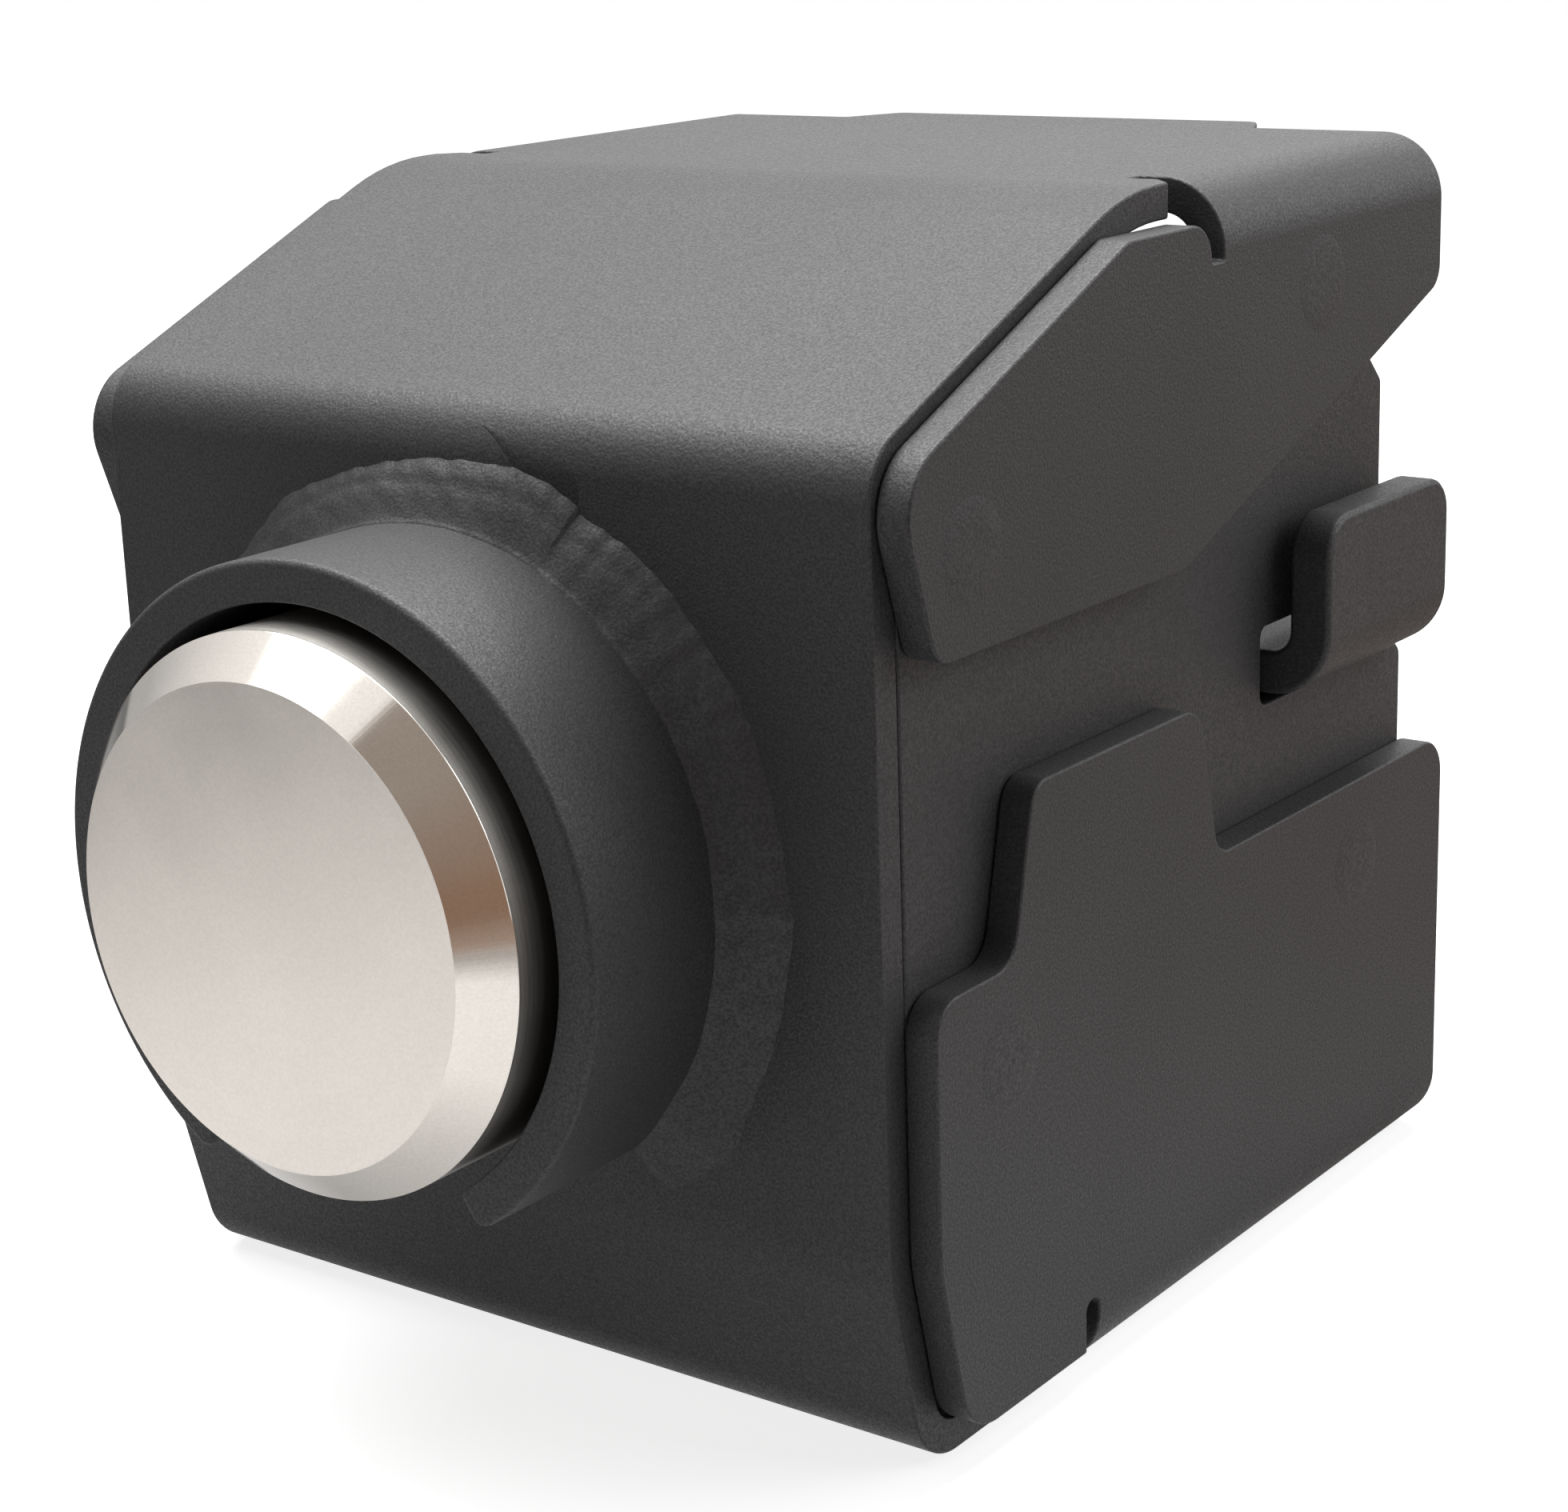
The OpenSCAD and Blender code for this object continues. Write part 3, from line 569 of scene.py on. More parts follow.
def upperWingOutline():
    # Its free edge runs along the slope: z = slopeFoot + y * tan(slope), less the set-back.
    s, w = shell, upperWing
    front, back, low = s["upperRelief"]
    bendZ = s["height"] - s["bendRadius"]
    slope = math.atan((s["height"] - s["slopeFoot"]) / s["slopeTop"])
    tipY, freeTop = s["upperTip"], w["freeTop"]
    tipZ = s["slopeFoot"] - w["tipSetBack"] / math.cos(slope) + tipY * math.tan(slope)
    corners = [(tipY, tipZ), (tipY + (freeTop - tipZ) / math.tan(slope), freeTop), (front, freeTop),
               (front, low), (back, low), (back, bendZ), (s["topBack"], bendZ),
               (s["topBack"], w["backStep"]), *w["low"]]
    return roundedOutline(corners, w["radii"])


def lowerWingOutline():
    # Its front edge leans as the sheet's foot does: y grows by tan(lean) for every z below it.
    s, w = shell, lowerWing
    front, back, low = s["lowerRelief"]
    leanFront = w["front"] + (s["lean"] - w["freeLow"]) * leanSlope
    corners = [(back, s["bendRadius"]), (back, low), (front, low), (front, w["freeLow"]),
               (leanFront, w["freeLow"]), (w["front"], s["lean"]), (w["front"], w["top"]), *w["hump"],
               (s["bottomBack"], w["top"]), (s["bottomBack"], s["bendRadius"])]
    return roundedOutline(corners, w["radii"])


makeShell()
print("folded shell made")


sidePlate = {
    "outer": 63.5,
    "gap": 0.25,
    "top": 146.44,
    "low": 9.56,
    "back": 131.5,
    "lowBack": 139.5,
    "chamferZ": 121.1,
    "slotFront": 95.0,
    "slot": (80.0, 91.2),
    "footBack": 37.2,
    "edge": 0.5,
    "radii": (3, 4, 24, 6, 0, 3, 4, 2.5, 1.6, 1.6, 2, 2, 3),
}


def makeSidePlates():
    # The front edge follows the bent sheet at a constant distance, its thickness and the gap.
    p, s = sidePlate, shell
    line = np.array(foldLine)
    inner = [line[i] + bisect(*line[i - 1:i + 2])[3] * (s["sheet"] + p["gap"]) for i in (2, 3, 4)]
    slope = (s["height"] - s["slopeFoot"]) / s["slopeTop"]
    corners = [(inner[0][0] + (p["top"] - inner[0][1]) / slope, p["top"]), *inner,
               (p["footBack"], inner[2][1]), (p["footBack"], p["low"]), (p["lowBack"], p["low"]),
               (p["lowBack"], p["slot"][0]), (p["slotFront"], p["slot"][0]), (p["slotFront"], p["slot"][1]),
               (p["back"], p["slot"][1]), (p["back"], p["chamferZ"]),
               (p["back"] - p["top"] + p["chamferZ"], p["top"])]
    outline = roundedOutline(corners, p["radii"])
    right, left = onBothSides([sideFace(outline, p["outer"])])
    for name, face, node in (("sidePlateRight", right, "side_plate_right"),
                             ("sidePlateLeft", left, "side_plate_left")):
        sheetPiece(name, [face], s["sheet"], p["edge"], "housing", "coated_plate", plateCoat, node)


makeSidePlates()
print("side plates made")


bar = {
    "thick": 6.35,
    "front": 97.4,
    "back": 135.4,
    "z": 81.1,
    "top": 107.2,
    "bendX": 63.3,
    "bendRadius": 9.55,
    "tongue": (-34.2, 9.8, 9.0),     # both its sides and its front end
    "hookRadii": (0, 0, 5.5, 6.0),   # of the upright's corners, from the bend's front end
    "edge": 0.9,
}


def makeHookBar():
    # A flat bar with its tongue, a quarter turn upwards at each end and an upright after it.
    b = bar
    left, right, tongueFront = b["tongue"]
    outline = [(b["bendX"], b["front"]), (b["bendX"], b["back"]), (-b["bendX"], b["back"]),
               (-b["bendX"], b["front"]), (left, b["front"]), (left, tongueFront), (right, tongueFront),
               (right, b["front"])]
    centreZ = b["z"] + b["bendRadius"]
    hook = quarterBend(b["front"], b["back"], (b["bendX"], centreZ), b["bendRadius"], -1, 19)
    corners = [(b["front"], centreZ), (b["back"], centreZ), (b["back"], b["top"]), (b["front"], b["top"])]
    hook.append(sideFace(roundedOutline(corners, b["hookRadii"]), b["bendX"] + b["bendRadius"]))
    faces = [(flatFace(outline, b["z"], "z"), (0, 0, -1))] + onBothSides(hook)
    sheetPiece("hookBar", faces, b["thick"], b["edge"], "bar", "coated_bar", barCoat, "hook_bar")


makeHookBar()
print("hook bar made")


plugWeld = {
    "radius": 6.8,
    "height": 0.18,         # of the dome above the wing
    "pitHalf": 0.4,         # half the width of the crater in its middle
    "core": 1.2,            # radius inside which the rings are close together
    "sunk": 0.02,
    "back": 0.3,            # of its flat back, outside the side plate
    # y, z and the crater's depth
    "places": ((14.0, 118.6, 0.03), (102.7, 139.0, 0.03), (20.7, 52.3, 0.2), (115.8, 51.9, 0.05)),
}


def makePlugWelds():
    # A low dome, height * (1 - (r / radius)^4), less a bell-shaped crater in its middle.
    p = plugWeld
    angles = np.linspace(0, 2 * np.pi, 72, endpoint=False)[:, None]
    r = np.concatenate([np.linspace(0, p["core"], 9)[:-1], np.linspace(p["core"], p["radius"], 22)])
    dome = shell["wingOuter"] + p["height"] * (1 - (r / p["radius"]) ** 4) - p["sunk"]
    pads = []
    for y, z, pit in p["places"]:
        x = np.append(dome - pit * np.exp(-(r / p["pitHalf"]) ** 2), [shell["halfWidth"] + p["back"]] * 2)
        out = np.append(r, [p["radius"], 0.0])
        pads.append(np.stack(np.broadcast_arrays(x, y + out * np.cos(angles), z + out * np.sin(angles)), -1))
    gridPiece("plugWeldsRight", pads, "housing", "coated_weld", sheetCoat, "plug_welds_right")
    gridPiece("plugWeldsLeft", [mirrored(pad) for pad in pads], "housing", "coated_weld", sheetCoat,
              "plug_welds_left")


makePlugWelds()
print("plug welds made")


collar = {
    "centre": (-2.0, 74.1),
    "outer": 44.45,
    "inner": 38.95,
    "length": 28.2,
    "gapHalf": 32.0,
    "lip": (1.0, 0.45),         # rounding of the sawn rim, outside and inside
    "endRounding": (2.2, 1.0),  # of the wall's thickness, and of the rim
}


def around(centre, radius, angle, y):
    # About the Y axis through centre (x, z). The angle runs anticlockwise from +X as seen
    # from the front.
    x, z = centre[0] + radius * np.cos(angle), centre[1] + radius * np.sin(angle)
    return np.stack(np.broadcast_arrays(x, y, z), -1)


def makeCollar():
    # Cross-section: a rectangle with rounded corners, in radius and Y. It is carried round
    # the open ring, and shrinks towards both ends by r - sqrt(r^2 - (r - d)^2), which rounds
    # them, where d is the distance from the end.
    c = collar
    outerLip, innerLip = c["lip"]
    section = roundedOutline([(c["outer"], 0), (c["outer"], -c["length"]), (c["inner"], -c["length"]),
                              (c["inner"], 0)], [0, outerLip, innerLip, 0], 12)
    start = math.radians(-90 + c["gapHalf"])
    turn = math.radians(360 - 2 * c["gapHalf"])
    nearEnd = c["endRounding"][0] / c["outer"] * (1 - np.cos(np.linspace(0, np.pi / 2, 14)))
    inner = np.linspace(nearEnd[-1], turn - nearEnd[-1], 241)[1:-1]
    along = np.concatenate([nearEnd, inner, turn - nearEnd[::-1]])
    fromEnd = np.minimum(along, turn - along)[:, None] * c["outer"]
    inset, rimInset = (r - np.sqrt(r * r - (r - np.minimum(fromEnd, r)) ** 2) for r in c["endRounding"])
    middleR = (c["outer"] + c["inner"]) / 2
    share = 1 - 2 * inset / (c["outer"] - c["inner"])
    radius = middleR + (section[None, :, 0] - middleR) * share
    y = section[None, :, 1] + np.where(section[None, :, 1] < -c["length"] / 2, rimInset, 0.0)
    gridPiece("lockCollar", [around(c["centre"], radius, (start + along)[:, None], y)], "housing",
              "coated_collar", collarCoat, "lock_collar", tube=True)


weld = {
    "start": -54.7,         # degrees anticlockwise from the right
    "end": 234.7,
    "sheetLeg": 7.8,
    "pipeLeg": 5.05,
    "swells": ((123, 6, 0.9), (102, 8, -0.3), (73, 9, 1.4), (50, 9, 0.6), (29, 8, 0.65), (-1, 4, 0.7),
               (-39, 6, 1.5), (150, 9, 0.5), (171, 7, -0.3), (196, 8, 0.7), (220, 7, 0.4)),
    "step": (65.2, 0.75),   # where the bead was restarted, and how far its edge steps in there
    "straight": 0.6,        # how near its section is to a plain bevel
    "valley": (0.4, 0.1, 0.13),     # between its two passes: place, width and depth
    "toe": (0.95, 0.035, 0.13),     # the small ridge where it ends on the pipe
    "lumps": 0.05,
    "endTurn": 5.0,         # degrees over which its ends round off
    "thinEnd": (0.25, 20),  # its share on the pipe at its ends, and the degrees until it is full
    "lowShare": 0.3,        # of the valley and the ridge, away from the top
    "sunk": (0.12, 0.1),    # into the pipe and the sheet
    "root": (0.6, 0.15),
}


def bell(t, centre, width, size):
    # size * exp(-((t - centre) / width)^2)
    return size * np.exp(-((t - centre) / width) ** 2)


def smoothStep(t, low, high):
    # 0 up to low, 1 from high on, and 3 * share^2 - 2 * share^3 between them.
    share = np.clip((t - low) / (high - low), 0, 1)
    return share * share * (3 - 2 * share)


def makeCollarWeld():
    # Section from the sheet (v = 0) to the pipe (v = 1): y = -pipeLeg * v, and the radius is
    # outer + sheetLeg * (1 - k * v - (1 - k) * smoothStep(v^1.4)). Both legs change along the
    # joint by bells and slow waves, with a valley between the passes and a ridge at the toe.
    w, c = weld, collar
    degrees = np.linspace(w["start"], w["end"], 900)[:, None]
    along = np.radians(degrees)
    v = (1 - np.cos(np.linspace(0, np.pi, 41)[None, :])) / 2
    legSheet = w["sheetLeg"] + sum(bell(degrees, *swell) for swell in w["swells"])
    restart, stepIn = w["step"]
    legSheet = legSheet - stepIn * bell(degrees, restart - 1.5, 3.0, 1.0) * (degrees < restart)
    legSheet = legSheet + wave((0.07, 47, 0.4), (0.06, 71, 1.0), (0.05, 107, 2.0))(along)
    legPipe = w["pipeLeg"] + wave((0.16, 7, 2.0), (0.1, 19, 0.3), (0.05, 53, 1.0))(along)
    thin, length = w["thinEnd"]
    for fromEnd in (degrees - w["start"], w["end"] - degrees):
        legPipe = legPipe * (thin + (1 - thin) * smoothStep(fromEnd, -2, length))
    toEnd = np.clip(np.minimum(degrees - w["start"], w["end"] - degrees) / w["endTurn"], 0, 1)
    ends = np.sqrt(1 - (1 - toEnd) ** 2)
    onTop = smoothStep(degrees, 15, 60) * smoothStep(-degrees, -175, -130)
    topShare = w["lowShare"] + (1 - w["lowShare"]) * onTop
    k = w["straight"]
    fall = k * v + (1 - k) * smoothStep(v ** 1.4, 0, 1)
    middle, width, depth = w["valley"]
    drift = middle + wave((0.05, 5, 1.0), (0.02, 13, 0.0))(along)
    lift = w["lumps"] * wave((0.5, 31, 0.0), (0.5, 57, 1.0))(along + 0.3 * v) * 4 * v * (1 - v)
    lift = lift - bell(v, drift, width, depth) * topShare
    toe = bell(v, *w["toe"]) * topShare * (0.75 + wave((0.15, 83, 0.4), (0.1, 211, 2.0))(along))
    lift = lift + toe
    sunkIn, sunkBack = w["sunk"]
    radius = c["outer"] - sunkIn + (legSheet * (1 - fall) + lift) * ends
    y = sunkBack - (legPipe * v + lift * 0.6 * (v < 0.9)) * ends
    crown = around(c["centre"], radius, along, y)
    rootIn, rootBack = w["root"]
    foot = around(c["centre"], c["outer"] - rootIn, along, rootBack)
    gridPiece("collarWeld", [np.concatenate([crown, foot], 1)], "housing", "coated_weld", weldCoat,
              "collar_weld", tube=True)


weldRunOut = {
    "from": 65.4,           # degrees
    "to": 85.0,
    "outer": (7.5, 12.6),   # outside the pipe, where it starts and where its edge is furthest out,
    "rise": 0.22,           # after this share of its length
    "inner": (6.5, 5.6),    # outside the pipe where it starts, and how much further where it ends
    "height": 0.12,
    "sunk": 0.05,
    "thick": 0.4,
    "bendStart": 6.04,      # of the sheet's bend, below the foot of the slope
    "bendReach": 8,
}


def makeWeldRunOut():
    # A low run of weld above the bead, on the bend, in a darker coat colour. Across it the
    # height is sin(pi * v)^0.7, and along it both ends fade out.
    w = weldRunOut
    u = np.linspace(0, 1, 61)[:, None]
    v = np.linspace(0, 1, 41)[None, :]
    degrees = w["from"] + (w["to"] - w["from"]) * u
    near, far = w["outer"]
    outer = near + (far - near) * np.sqrt(1 - (1 - np.clip(u / w["rise"], 0, 1)) ** 2)
    near, further = w["inner"]
    inner = near + further * smoothStep(u, 0.35, 1.0)
    top = around(collar["centre"], collar["outer"] + inner + (outer - inner) * v, np.radians(degrees), 0.0)
    bend = shell["frontBendRadius"]
    into = np.clip(top[..., 2] - (shell["slopeFoot"] - w["bendStart"]), 0, w["bendReach"])
    pad = np.clip(np.sin(np.pi * v), 0, 1) ** 0.7 * np.sqrt(np.clip(1 - np.abs(2 * u - 1) ** 7, 0, 1))
    top[..., 1] = bend - np.sqrt(bend ** 2 - into ** 2) + w["sunk"] - (w["height"] + w["sunk"]) * pad
    under = top + np.array([0.0, w["thick"], 0.0])
    gridPiece("weldRunOut", [np.concatenate([top, under[:, ::-1]], 1)], "housing", "coated_weld", runOutCoat,
              tube=True)


innerWelds = {
    "leg": 3.7,
    "seams": ((38.0, 60.0), (98.0, 120.0)),     # heights, where a side plate meets the front sheet
    "ledges": (77.5, 125.5),                    # front and back
    "lug": (13.0, 43.0),
    "ripple": 0.14,
    "rippleLength": 1.5,
    "bow": 1.7,             # the power that makes the face between the legs flat or hollow
    "endLength": 3.0,
    "least": 0.02,          # what is left of a leg at the very ends
    "root": 0.15,           # sunk into both pieces
}


def straightBead(start, end, towardA, towardB, seed):
    # Fillet along a line: corner + leg * (cos(a)^bow towards A + sin(a)^bow towards B), where
    # the leg swells and shrinks along it in crescent ripples, and is next to nothing at its ends.
    w = innerWelds
    start, end, towardA, towardB = (np.asarray(v, float) for v in (start, end, towardA, towardB))
    length = np.linalg.norm(end - start)
    t = np.linspace(0, 1, int(length * 5))[:, None]
    a = np.linspace(0, np.pi / 2, 15)[None, :]
    ripple = w["ripple"] * np.sin(2 * np.pi * (t * length + 0.9 * np.sin(2 * a)) / w["rippleLength"])
    leg = w["leg"] + wave((0.2, 9, seed), (0.12, 23, 2 * seed))(t) + ripple * np.sin(2 * a)
    toEnd = np.clip(np.minimum(t, 1 - t) * length / w["endLength"], 0, 1)
    leg = leg * np.sqrt(1 - (1 - toEnd) ** 2) + w["least"]
    line = start + (end - start) * t
    crown = (line[:, None] + (leg * np.cos(a) ** w["bow"])[..., None] * towardA
             + (leg * np.sin(a) ** w["bow"])[..., None] * towardB)
    root = line[:, None] - w["root"] * (towardA + towardB)
    return np.concatenate([crown, root], 1)


def makeInnerWelds():
    w = innerWelds
    sheet = shell["sheet"]
    plateIn = shell["halfWidth"] - sheet
    seams = [straightBead((plateIn, sheet, low), (plateIn, sheet, high), (0, 1, 0), (-1, 0, 0), low)
             for low, high in w["seams"]]
    under = bar["z"] - ledge["gap"] - ledge["thick"]
    front, back = w["ledges"]
    ledges = [straightBead((side * plateIn, front, under), (side * plateIn, back, under),
                           (-side, 0, 0), (0, 0, -1), side) for side in (1, -1)]
    front, back = w["lug"]
    lugs = []
    for side in (1, -1):
        x = lug["x"] + side * sheet / 2
        lugs.append(straightBead((x, front, bar["z"]), (x, back, bar["z"]), (side, 0, 0), (0, 0, -1),
                                 3 * side))
    for name, beads, body, node in (
            ("seamWeldsRight", seams, "housing", "seam_welds_right"),
            ("seamWeldsLeft", [mirrored(bead) for bead in seams], "housing", "seam_welds_left"),
            ("ledgeWelds", ledges, "housing", "ledge_welds"), ("lugWelds", lugs, "bar", "lug_welds")):
        gridPiece(name, beads, body, "coated_weld", weldCoat, node, tube=True)


ledge = {
    "width": 10.0,
    "thick": 6.0,
    "length": 60.0,
    "gap": 0.1,             # under the hook bar
    "edge": 0.7,
}


def makeLedges():
    outer = shell["halfWidth"] - shell["sheet"]
    inner = outer - ledge["width"]
    front, back = sidePlate["back"] - ledge["length"], sidePlate["back"]
    outline = [(outer, front), (outer, back), (inner, back), (inner, front)]
    face = flatFace(roundedOutline(outline, [0, 0, 2.0, 2.0]), bar["z"] - ledge["gap"], "z")
    for name, points, node in (("guideLedgeRight", face, "guide_ledge_right"),
                               ("guideLedgeLeft", mirrored(face), "guide_ledge_left")):
        sheetPiece(name, [(points, (0, 0, 1))], ledge["thick"], ledge["edge"], "housing", "coated_plate",
                   plateCoat, node)


lug = {
    "x": -12.2,
    "tip": -23.8,
    "tail": 46.0,
    "half": 11.5,
    "hole": (-13.6, 6.5),   # its middle and radius
    "corner": 6.0,
    "edge": 0.5,
}


def makeLug():
    # The outline is cut in two through the middle of its hole, and each half goes round it.
    middle = collar["centre"][1]
    low, high = middle - lug["half"], middle + lug["half"]
    holeY, holeR = lug["hole"]
    arc = np.linspace(0, np.pi, 33)
    over = np.stack([holeY + holeR * np.cos(arc), middle + holeR * np.sin(arc)], 1)
    tongueFront = bar["tongue"][2]
    tip, tail, corner = lug["tip"], lug["tail"], lug["corner"]
    upper = roundedOutline([(tail, middle), (tail, bar["z"]), (tongueFront, bar["z"]), (tongueFront, high),
                            (tip, high), (tip, middle)], [0, 0, 0, 0, corner, 0])
    lower = roundedOutline([(tip, middle), (tip, low), (tail, low), (tail, middle)], [0, corner, corner, 0])
    upper = np.concatenate([upper, over[::-1]])
    lower = np.concatenate([lower, over * [1, -1] + [0, 2 * middle]])
    faces = [sideFace(half, lug["x"] + shell["sheet"] / 2) for half in (upper, lower)]
    sheetPiece("haspLug", faces, shell["sheet"], lug["edge"], "bar", "bare_steel", bareSteel, "hasp_lug")


makeLedges()
makeLug()
makeInnerWelds()
makeCollar()
makeCollarWeld()
makeWeldRunOut()
print("collar made")


puck = {
    "radius": 36.5,
    "faceRadius": 31.3,
    "back": -1.5,
    "front": -37.5,
    "rim": 5.3,
    "backChamfer": 1.2,
    "radii": (0, 0.12, 0.24, 0.3, 0.3, 0),
    "recess": (-15.2, -9.2, 13.0, -24.8),       # left, right, half height and bottom of the lug's recess
    "pinBore": (-13.6, 74.1, 5.55, -20.5),      # y, z, radius and blind end
    "cylinderBore": (3.6, -20.0, 11.6, 66.5),   # x, y, radius and top
    "setScrew": (3.6, 55.9, 2.02),              # x, z, radius
    "studWindow": ((-6.5, -17.9, 65.0), (10.5, -9.3, 73.9)),
}


def lathe(line, centre, steps=256):
    # A (radius, y) line turned about the Y axis through centre (x, z).
    angles = np.linspace(0, 2 * np.pi, steps, endpoint=False)[:, None]
    line = np.asarray(line, float)
    return around(centre, line[:, 0], angles, line[:, 1])


def rodGrid(axis, place2d, radius, start, end):
    # A round bar: a turned line that starts and ends on its axis.
    rod = lathe([(0, start), (radius, start), (radius, end), (0, end)], place2d, 96)
    order = {"x": [1, 0, 2], "y": [0, 1, 2], "z": [0, 2, 1]}[axis]
    return rod[:, :, order]


def boxGrid(low, high):
    # Four corners round a box, as the end, two rings and the end of a line carried up it.
    corners = np.array([[0, 0], [1, 0], [1, 1], [0, 1]], float)
    low, high = np.array(low, float), np.array(high, float)
    xy = low[:2] + corners * (high - low)[:2]
    middle = np.tile((low + high)[:2] / 2, (4, 1))
    rings = [np.column_stack([ring, np.full(4, z)]) for ring, z in
             ((middle, low[2]), (xy, low[2]), (xy, high[2]), (middle, high[2]))]
    return np.stack(rings, 1)


def cutAway(piece, grids):
    # Takes closed grids out of the piece and keeps the result as its mesh.
    cutter = gridPiece("cutter", grids, "padlock", "stainless_body", sideSteel)
    cutter.modifiers.clear()
    cut = piece.modifiers.new("cut", "BOOLEAN")
    cut.operation = "DIFFERENCE"
    cut.solver = "EXACT"
    cut.use_self = True
    cut.object = cutter
    graph = bpy.context.evaluated_depsgraph_get()
    mesh = bpy.data.meshes.new_from_object(piece.evaluated_get(graph))
    piece.modifiers.clear()
    piece.data = mesh
    bpy.data.objects.remove(cutter)


def makePuck():
    # The outline turned about its axis, less the lug's recess and the bores for what is inside.
    # The face, the chamfer and the rest have a finish each.
    p = puck
    radius, front, back, chamfer = p["radius"], p["front"], p["back"], p["backChamfer"]
    line = roundedOutline([(0.0, front), (p["faceRadius"], front), (radius, front + p["rim"]),
                           (radius, back - chamfer), (radius - chamfer, back), (0.0, back)],
                          p["radii"], 12)
    piece = gridPiece("puckBody", [lathe(line, collar["centre"])], "padlock", "stainless_body", faceSteel,
                      "puck_body")
    piece.modifiers.clear()
    left, right, half, bottom = p["recess"]
    pinY, pinZ, pinRadius, blindEnd = p["pinBore"]
    boreX, boreY, boreRadius, boreTop = p["cylinderBore"]
    screwX, screwZ, screwRadius = p["setScrew"]
    middleZ = collar["centre"][1]
    cutAway(piece, [boxGrid((left, bottom, middleZ - half), (right, 1.0, middleZ + half)),
                    rodGrid("x", (pinY, pinZ), pinRadius, blindEnd, 40.0),
                    rodGrid("z", (boreX, boreY), boreRadius, 30.0, boreTop),
                    rodGrid("y", (screwX, screwZ), screwRadius, boreY, 1.0),
                    boxGrid(*p["studWindow"])])
    mesh = piece.data
    mesh.materials.clear()
    for material in (faceSteel, rimSteel, sideSteel):
        mesh.materials.append(material)
    middles = np.zeros(len(mesh.polygons) * 3)
    mesh.polygons.foreach_get("center", middles)
    middles = middles.reshape(-1, 3) - place((collar["centre"][0], 0, collar["centre"][1]))
    forward = middles[:, 1] / mm
    across = np.hypot(middles[:, 0], middles[:, 2]) / mm
    onRim = (forward < front + p["rim"] + 0.1) & (across > p["faceRadius"] - 0.3)
    index = np.where(forward < front + 0.02, 0, np.where(onRim, 1, 2))
    mesh.polygons.foreach_set("material_index", index.astype(np.int32))
    mesh.shade_smooth()
    evenShading(piece, sharp=26)


makePuck()
print("padlock made")


nodeLooks = (
    (sideSteel, ("bore_plug",)), (springSteel, ("pin_springs",)),
    (brass, ("cylinder_housing", "driver_pins", "key_plug", "key_pins")),
    (zincSteel, ("spring_cover", "plug_circlip", "cam_disc")),
    (bareSteel, ("cam_stud", "shackle_pin")), (screwBlack, ("cylinder_screw", "cam_screw")),
)
for material, names in nodeLooks:
    for name in names:
        nodes[name].data.materials.clear()
        nodes[name].data.materials.append(material)
print("small pieces given their materials")


studio = {
    "camera": (270.6, -294.9, 199.7),    # millimetres, as the pieces are
    "azimuth": 36.7868,          # degrees to the right of the front
    "elevation": 15.9461,
    "roll": -1.9511,
    "lens": 73.45,
    "white": (1, 1, 1, 1),
    "floor": 6.0,                # metres across
    "floorZ": -0.0002,
    "floorTone": 0.5,
    "floorGlow": (0.82, 1.0),    # added where it is seen: by the object, and far from it
    "glowEdge": (0.3, 0.9),      # distances between which it changes
    "mirroredTone": 0.1,         # what reflections show instead of its tone,
    "pool": (0.02, -0.176),      # and of its glow: a pool of light about this place,
    "poolEdge": (0.15, 0.38),    # which fades between these distances from it
    "poolGlow": (0.85, 0.15),
    "under": (-0.025, -0.076),   # and which has a painted shadow of the object round this place, where it is dimmer
    "paintedShadowRamp": (0, 0.1, 0.45, 1.0),    # from and to these distances, by these shares
    "behindY": (-0.05, 0.02),    # white again behind on the right
    "behindX": (0.05, 0.09),
    "softLight": 0.01,
    "roomSide": (0.0, 0.04),     # reflections show a dim brown room in front on the right
    "roomFront": (-0.4, -0.5),
    "roomHeight": (0.66, 0.1),   # its wall turns into its floor between these heights
    "roomWall": (0.33, 0.29, 0.26, 1),
    "roomFloor": (0.26, 0.17, 0.12, 1),
    "leftSide": (-0.6, -0.75),   # and it is dimmer towards the horizon on the left
    "leftHeight": (0.62, 0.1, 0, 0.55),
    "lampSize": 0.5,
    "aim": (0, 0, 0.08),
    # Places and watts
    "lamps": (("topLamp", (-0.183, 0.183, 1.046), 8.4), ("backLamp", (0.0, 0.5, 0.946), 5.7),
              ("rightLamp", (0.72, 0.262, 0.723), 2.3), ("leftLamp", (-0.5, 0.0, 0.946), 4.4),
              ("frontLamp", (-0.354, -0.354, 0.946), 3.1), ("cornerLamp", (0.641, 0.641, 0.503), 1.8)),
}


def makeCamera():
    data = bpy.data.cameras.new("camera")
    data.sensor_fit = "HORIZONTAL"
    data.sensor_width = 36.0
    data.lens = studio["lens"]
    data.clip_start = 0.01
    view = newObject("camera", data)
    turn = Matrix.Translation(Vector(place(studio["camera"])))
    for degrees, axis in ((studio["azimuth"], "Z"), (90 - studio["elevation"], "X"), (studio["roll"], "Z")):
        turn = turn @ Matrix.Rotation(math.radians(degrees), 4, axis)
    view.matrix_world = turn
    bpy.context.scene.camera = view


def seenRay(tree):
    # 1 for rays that show the surroundings, straight, in a reflection or through glass, and
    # 1 for those in a reflection.
    path = tree.nodes.new("ShaderNodeLightPath")
    glossy = path.outputs["Is Glossy Ray"]
    seen = mathNode(tree, "MAXIMUM", path.outputs["Is Camera Ray"], glossy)
    return mathNode(tree, "MAXIMUM", seen, path.outputs["Is Transmission Ray"]), glossy


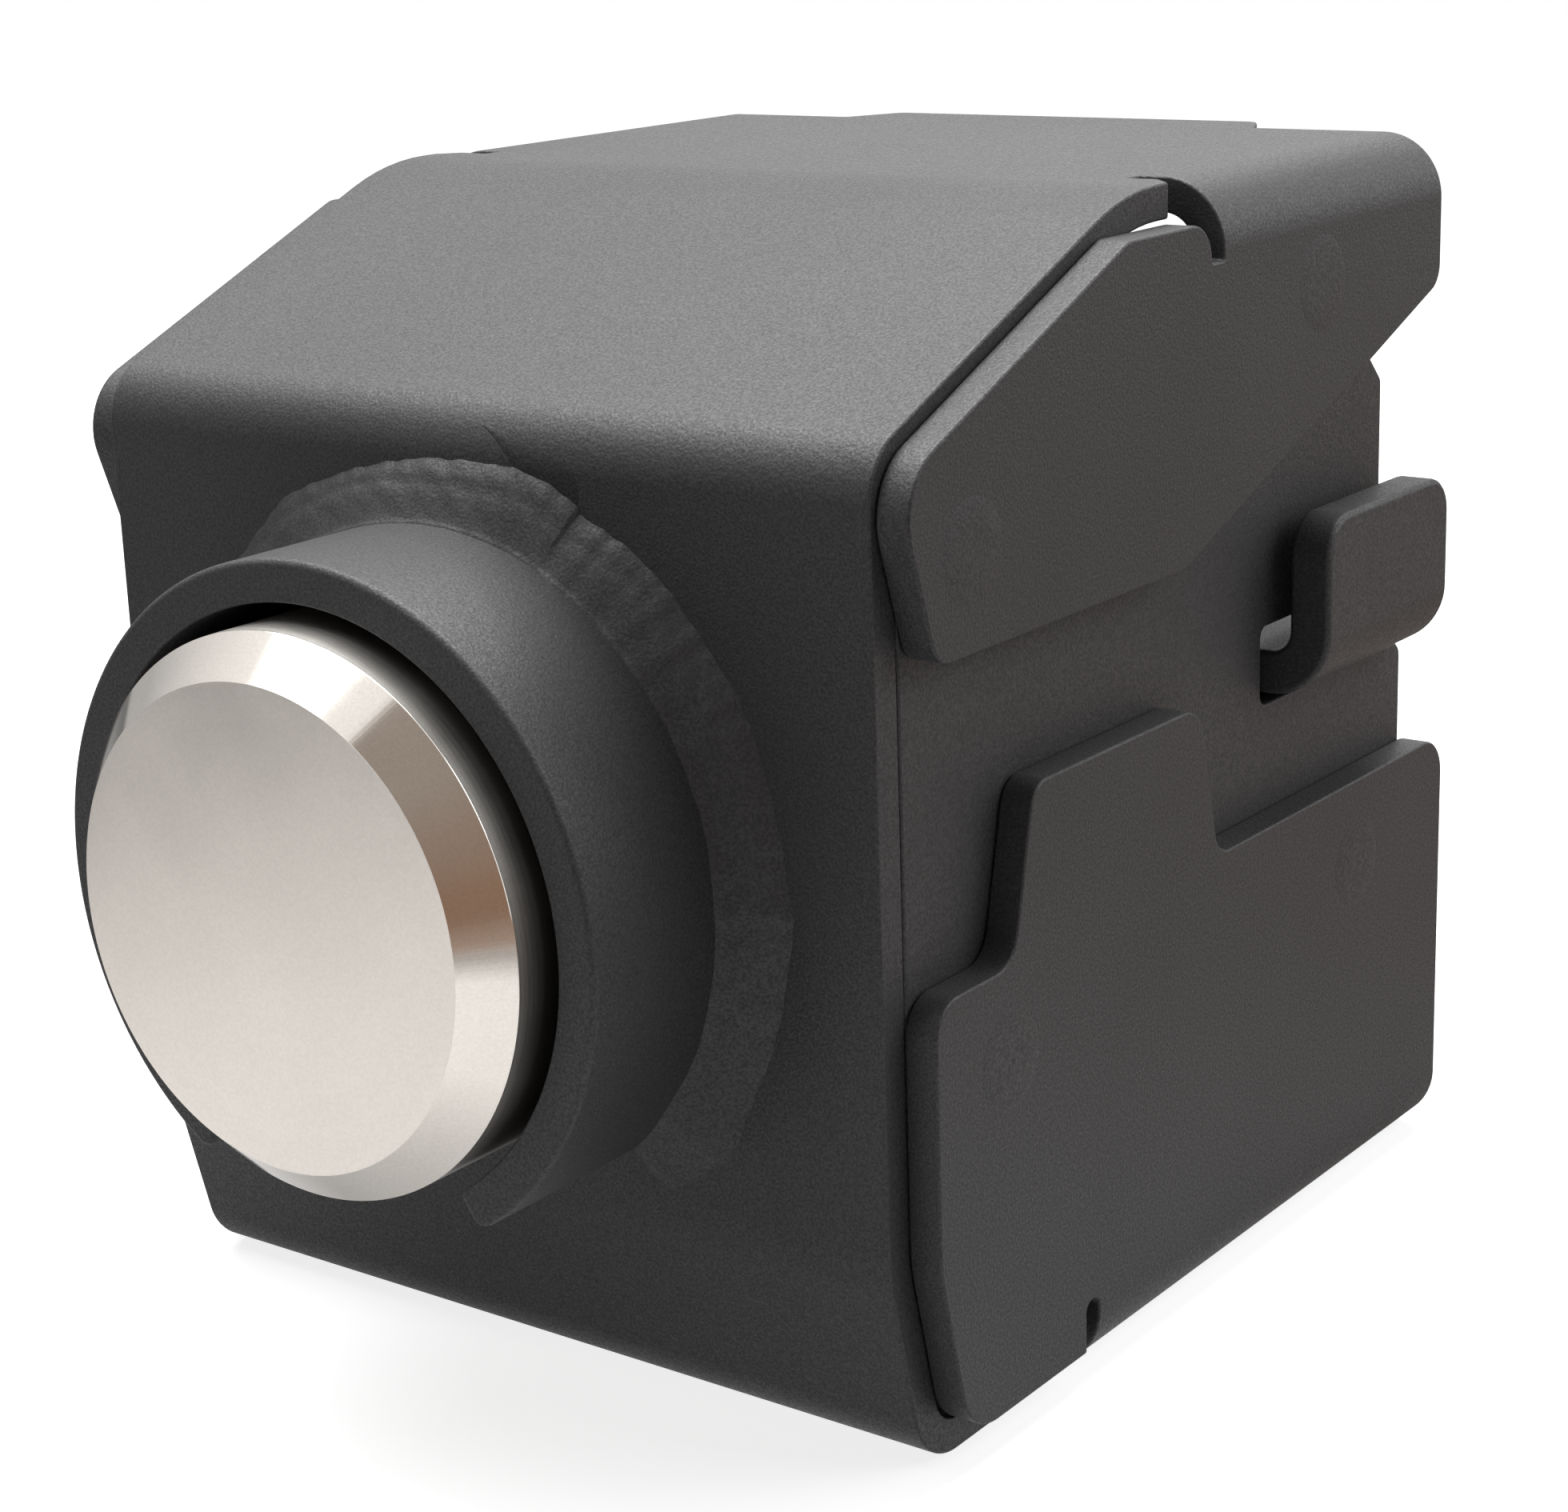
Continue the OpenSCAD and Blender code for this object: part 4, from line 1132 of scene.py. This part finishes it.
def makeFloor():
    # White where the camera looks at it, with the object's shadow. Reflections show a pool of
    # light on it, dimmed near the object by a painted shadow of it, and the brown floor of the
    # room beyond that on the right.
    s = studio
    half, z = s["floor"] / 2, s["floorZ"]
    mesh = bpy.data.meshes.new("floor")
    mesh.from_pydata([(-half, -half, z), (half, -half, z), (half, half, z), (-half, half, z)], [],
                     [(0, 1, 2, 3)])
    floor = newObject("floor", mesh)
    material, tree, shader = newMaterial("paleFloor")
    shader.inputs["Roughness"].default_value = 1.0
    shader.inputs["Specular IOR Level"].default_value = 0.0
    vector = objectVector(tree)
    x, y, _ = partsOf(tree, vector)
    seen, glossy = seenRay(tree)
    tone = rampNode(tree, glossy, 0, 1, s["floorTone"], s["mirroredTone"])
    tree.links.new(tone, shader.inputs["Base Color"])

    fromPool = distanceTo(tree, vector, (*s["pool"], z))
    room = product(tree, rampNode(tree, x, *s["roomSide"]), rampNode(tree, fromPool, *s["poolEdge"]))
    room = product(tree, room, glossy)
    tree.links.new(mixedColor(tree, room, s["white"], s["roomFloor"]), shader.inputs["Emission Color"])

    # Painted shadow of the object in reflections: the pool is dimmer round the place by its foot.
    under = rampNode(tree, distanceTo(tree, vector, (*s["under"], z)), *s["paintedShadowRamp"])
    pool = product(tree, rampNode(tree, fromPool, *s["poolEdge"], *s["poolGlow"]), under)
    behind = product(tree, rampNode(tree, y, *s["behindY"]), rampNode(tree, x, *s["behindX"]))
    reflected = mathNode(tree, "MAXIMUM", mathNode(tree, "MAXIMUM", pool, room), behind)
    glow = rampNode(tree, distanceTo(tree, vector, (0, 0, 0)), *s["glowEdge"], *s["floorGlow"])
    strength = product(tree, seen, makeNode(tree, "Mix", {0: glossy, 2: glow, 3: reflected})[0])
    tree.links.new(strength, shader.inputs["Emission Strength"])
    mesh.materials.append(material)


def makeLamp(name, spot, power):
    data = bpy.data.lights.new(name, "AREA")
    data.shape = "SQUARE"
    data.size = studio["lampSize"]
    data.energy = power
    lamp = newObject(name, data)
    lamp.location = spot
    aim = Vector(studio["aim"]) - Vector(spot)
    lamp.rotation_euler = aim.to_track_quat("-Z", "Y").to_euler()


def makeWorld():
    # White where it is seen. Reflections show a dim room in front on the right, and on the
    # left it gets dimmer towards the horizon.
    s = studio
    world = bpy.data.worlds.new("studio")
    bpy.context.scene.world = world
    world.use_nodes = True
    tree = world.node_tree
    background = tree.nodes["Background"]
    seen, glossy = seenRay(tree)
    x, y, z = partsOf(tree, tree.nodes.new("ShaderNodeTexCoord").outputs["Generated"])
    room = product(tree, rampNode(tree, x, *s["roomSide"]), rampNode(tree, y, *s["roomFront"]))
    room = product(tree, room, glossy)
    wall = mixedColor(tree, rampNode(tree, z, *s["roomHeight"]), s["roomWall"], s["roomFloor"])
    tree.links.new(mixedColor(tree, room, s["white"], wall), background.inputs["Color"])
    left = product(tree, rampNode(tree, x, *s["leftSide"]), rampNode(tree, z, *s["leftHeight"]))
    lit = mathNode(tree, "SUBTRACT", 1.0, product(tree, left, glossy))
    strength = rampNode(tree, seen, 0, 1, s["softLight"], 1.0)
    tree.links.new(product(tree, strength, lit), background.inputs["Strength"])


makeCamera()
makeFloor()
makeWorld()
for lampName, spot, power in studio["lamps"]:
    makeLamp(lampName, spot, power)
bpy.context.scene.view_settings.view_transform = "Standard"
print("studio made")
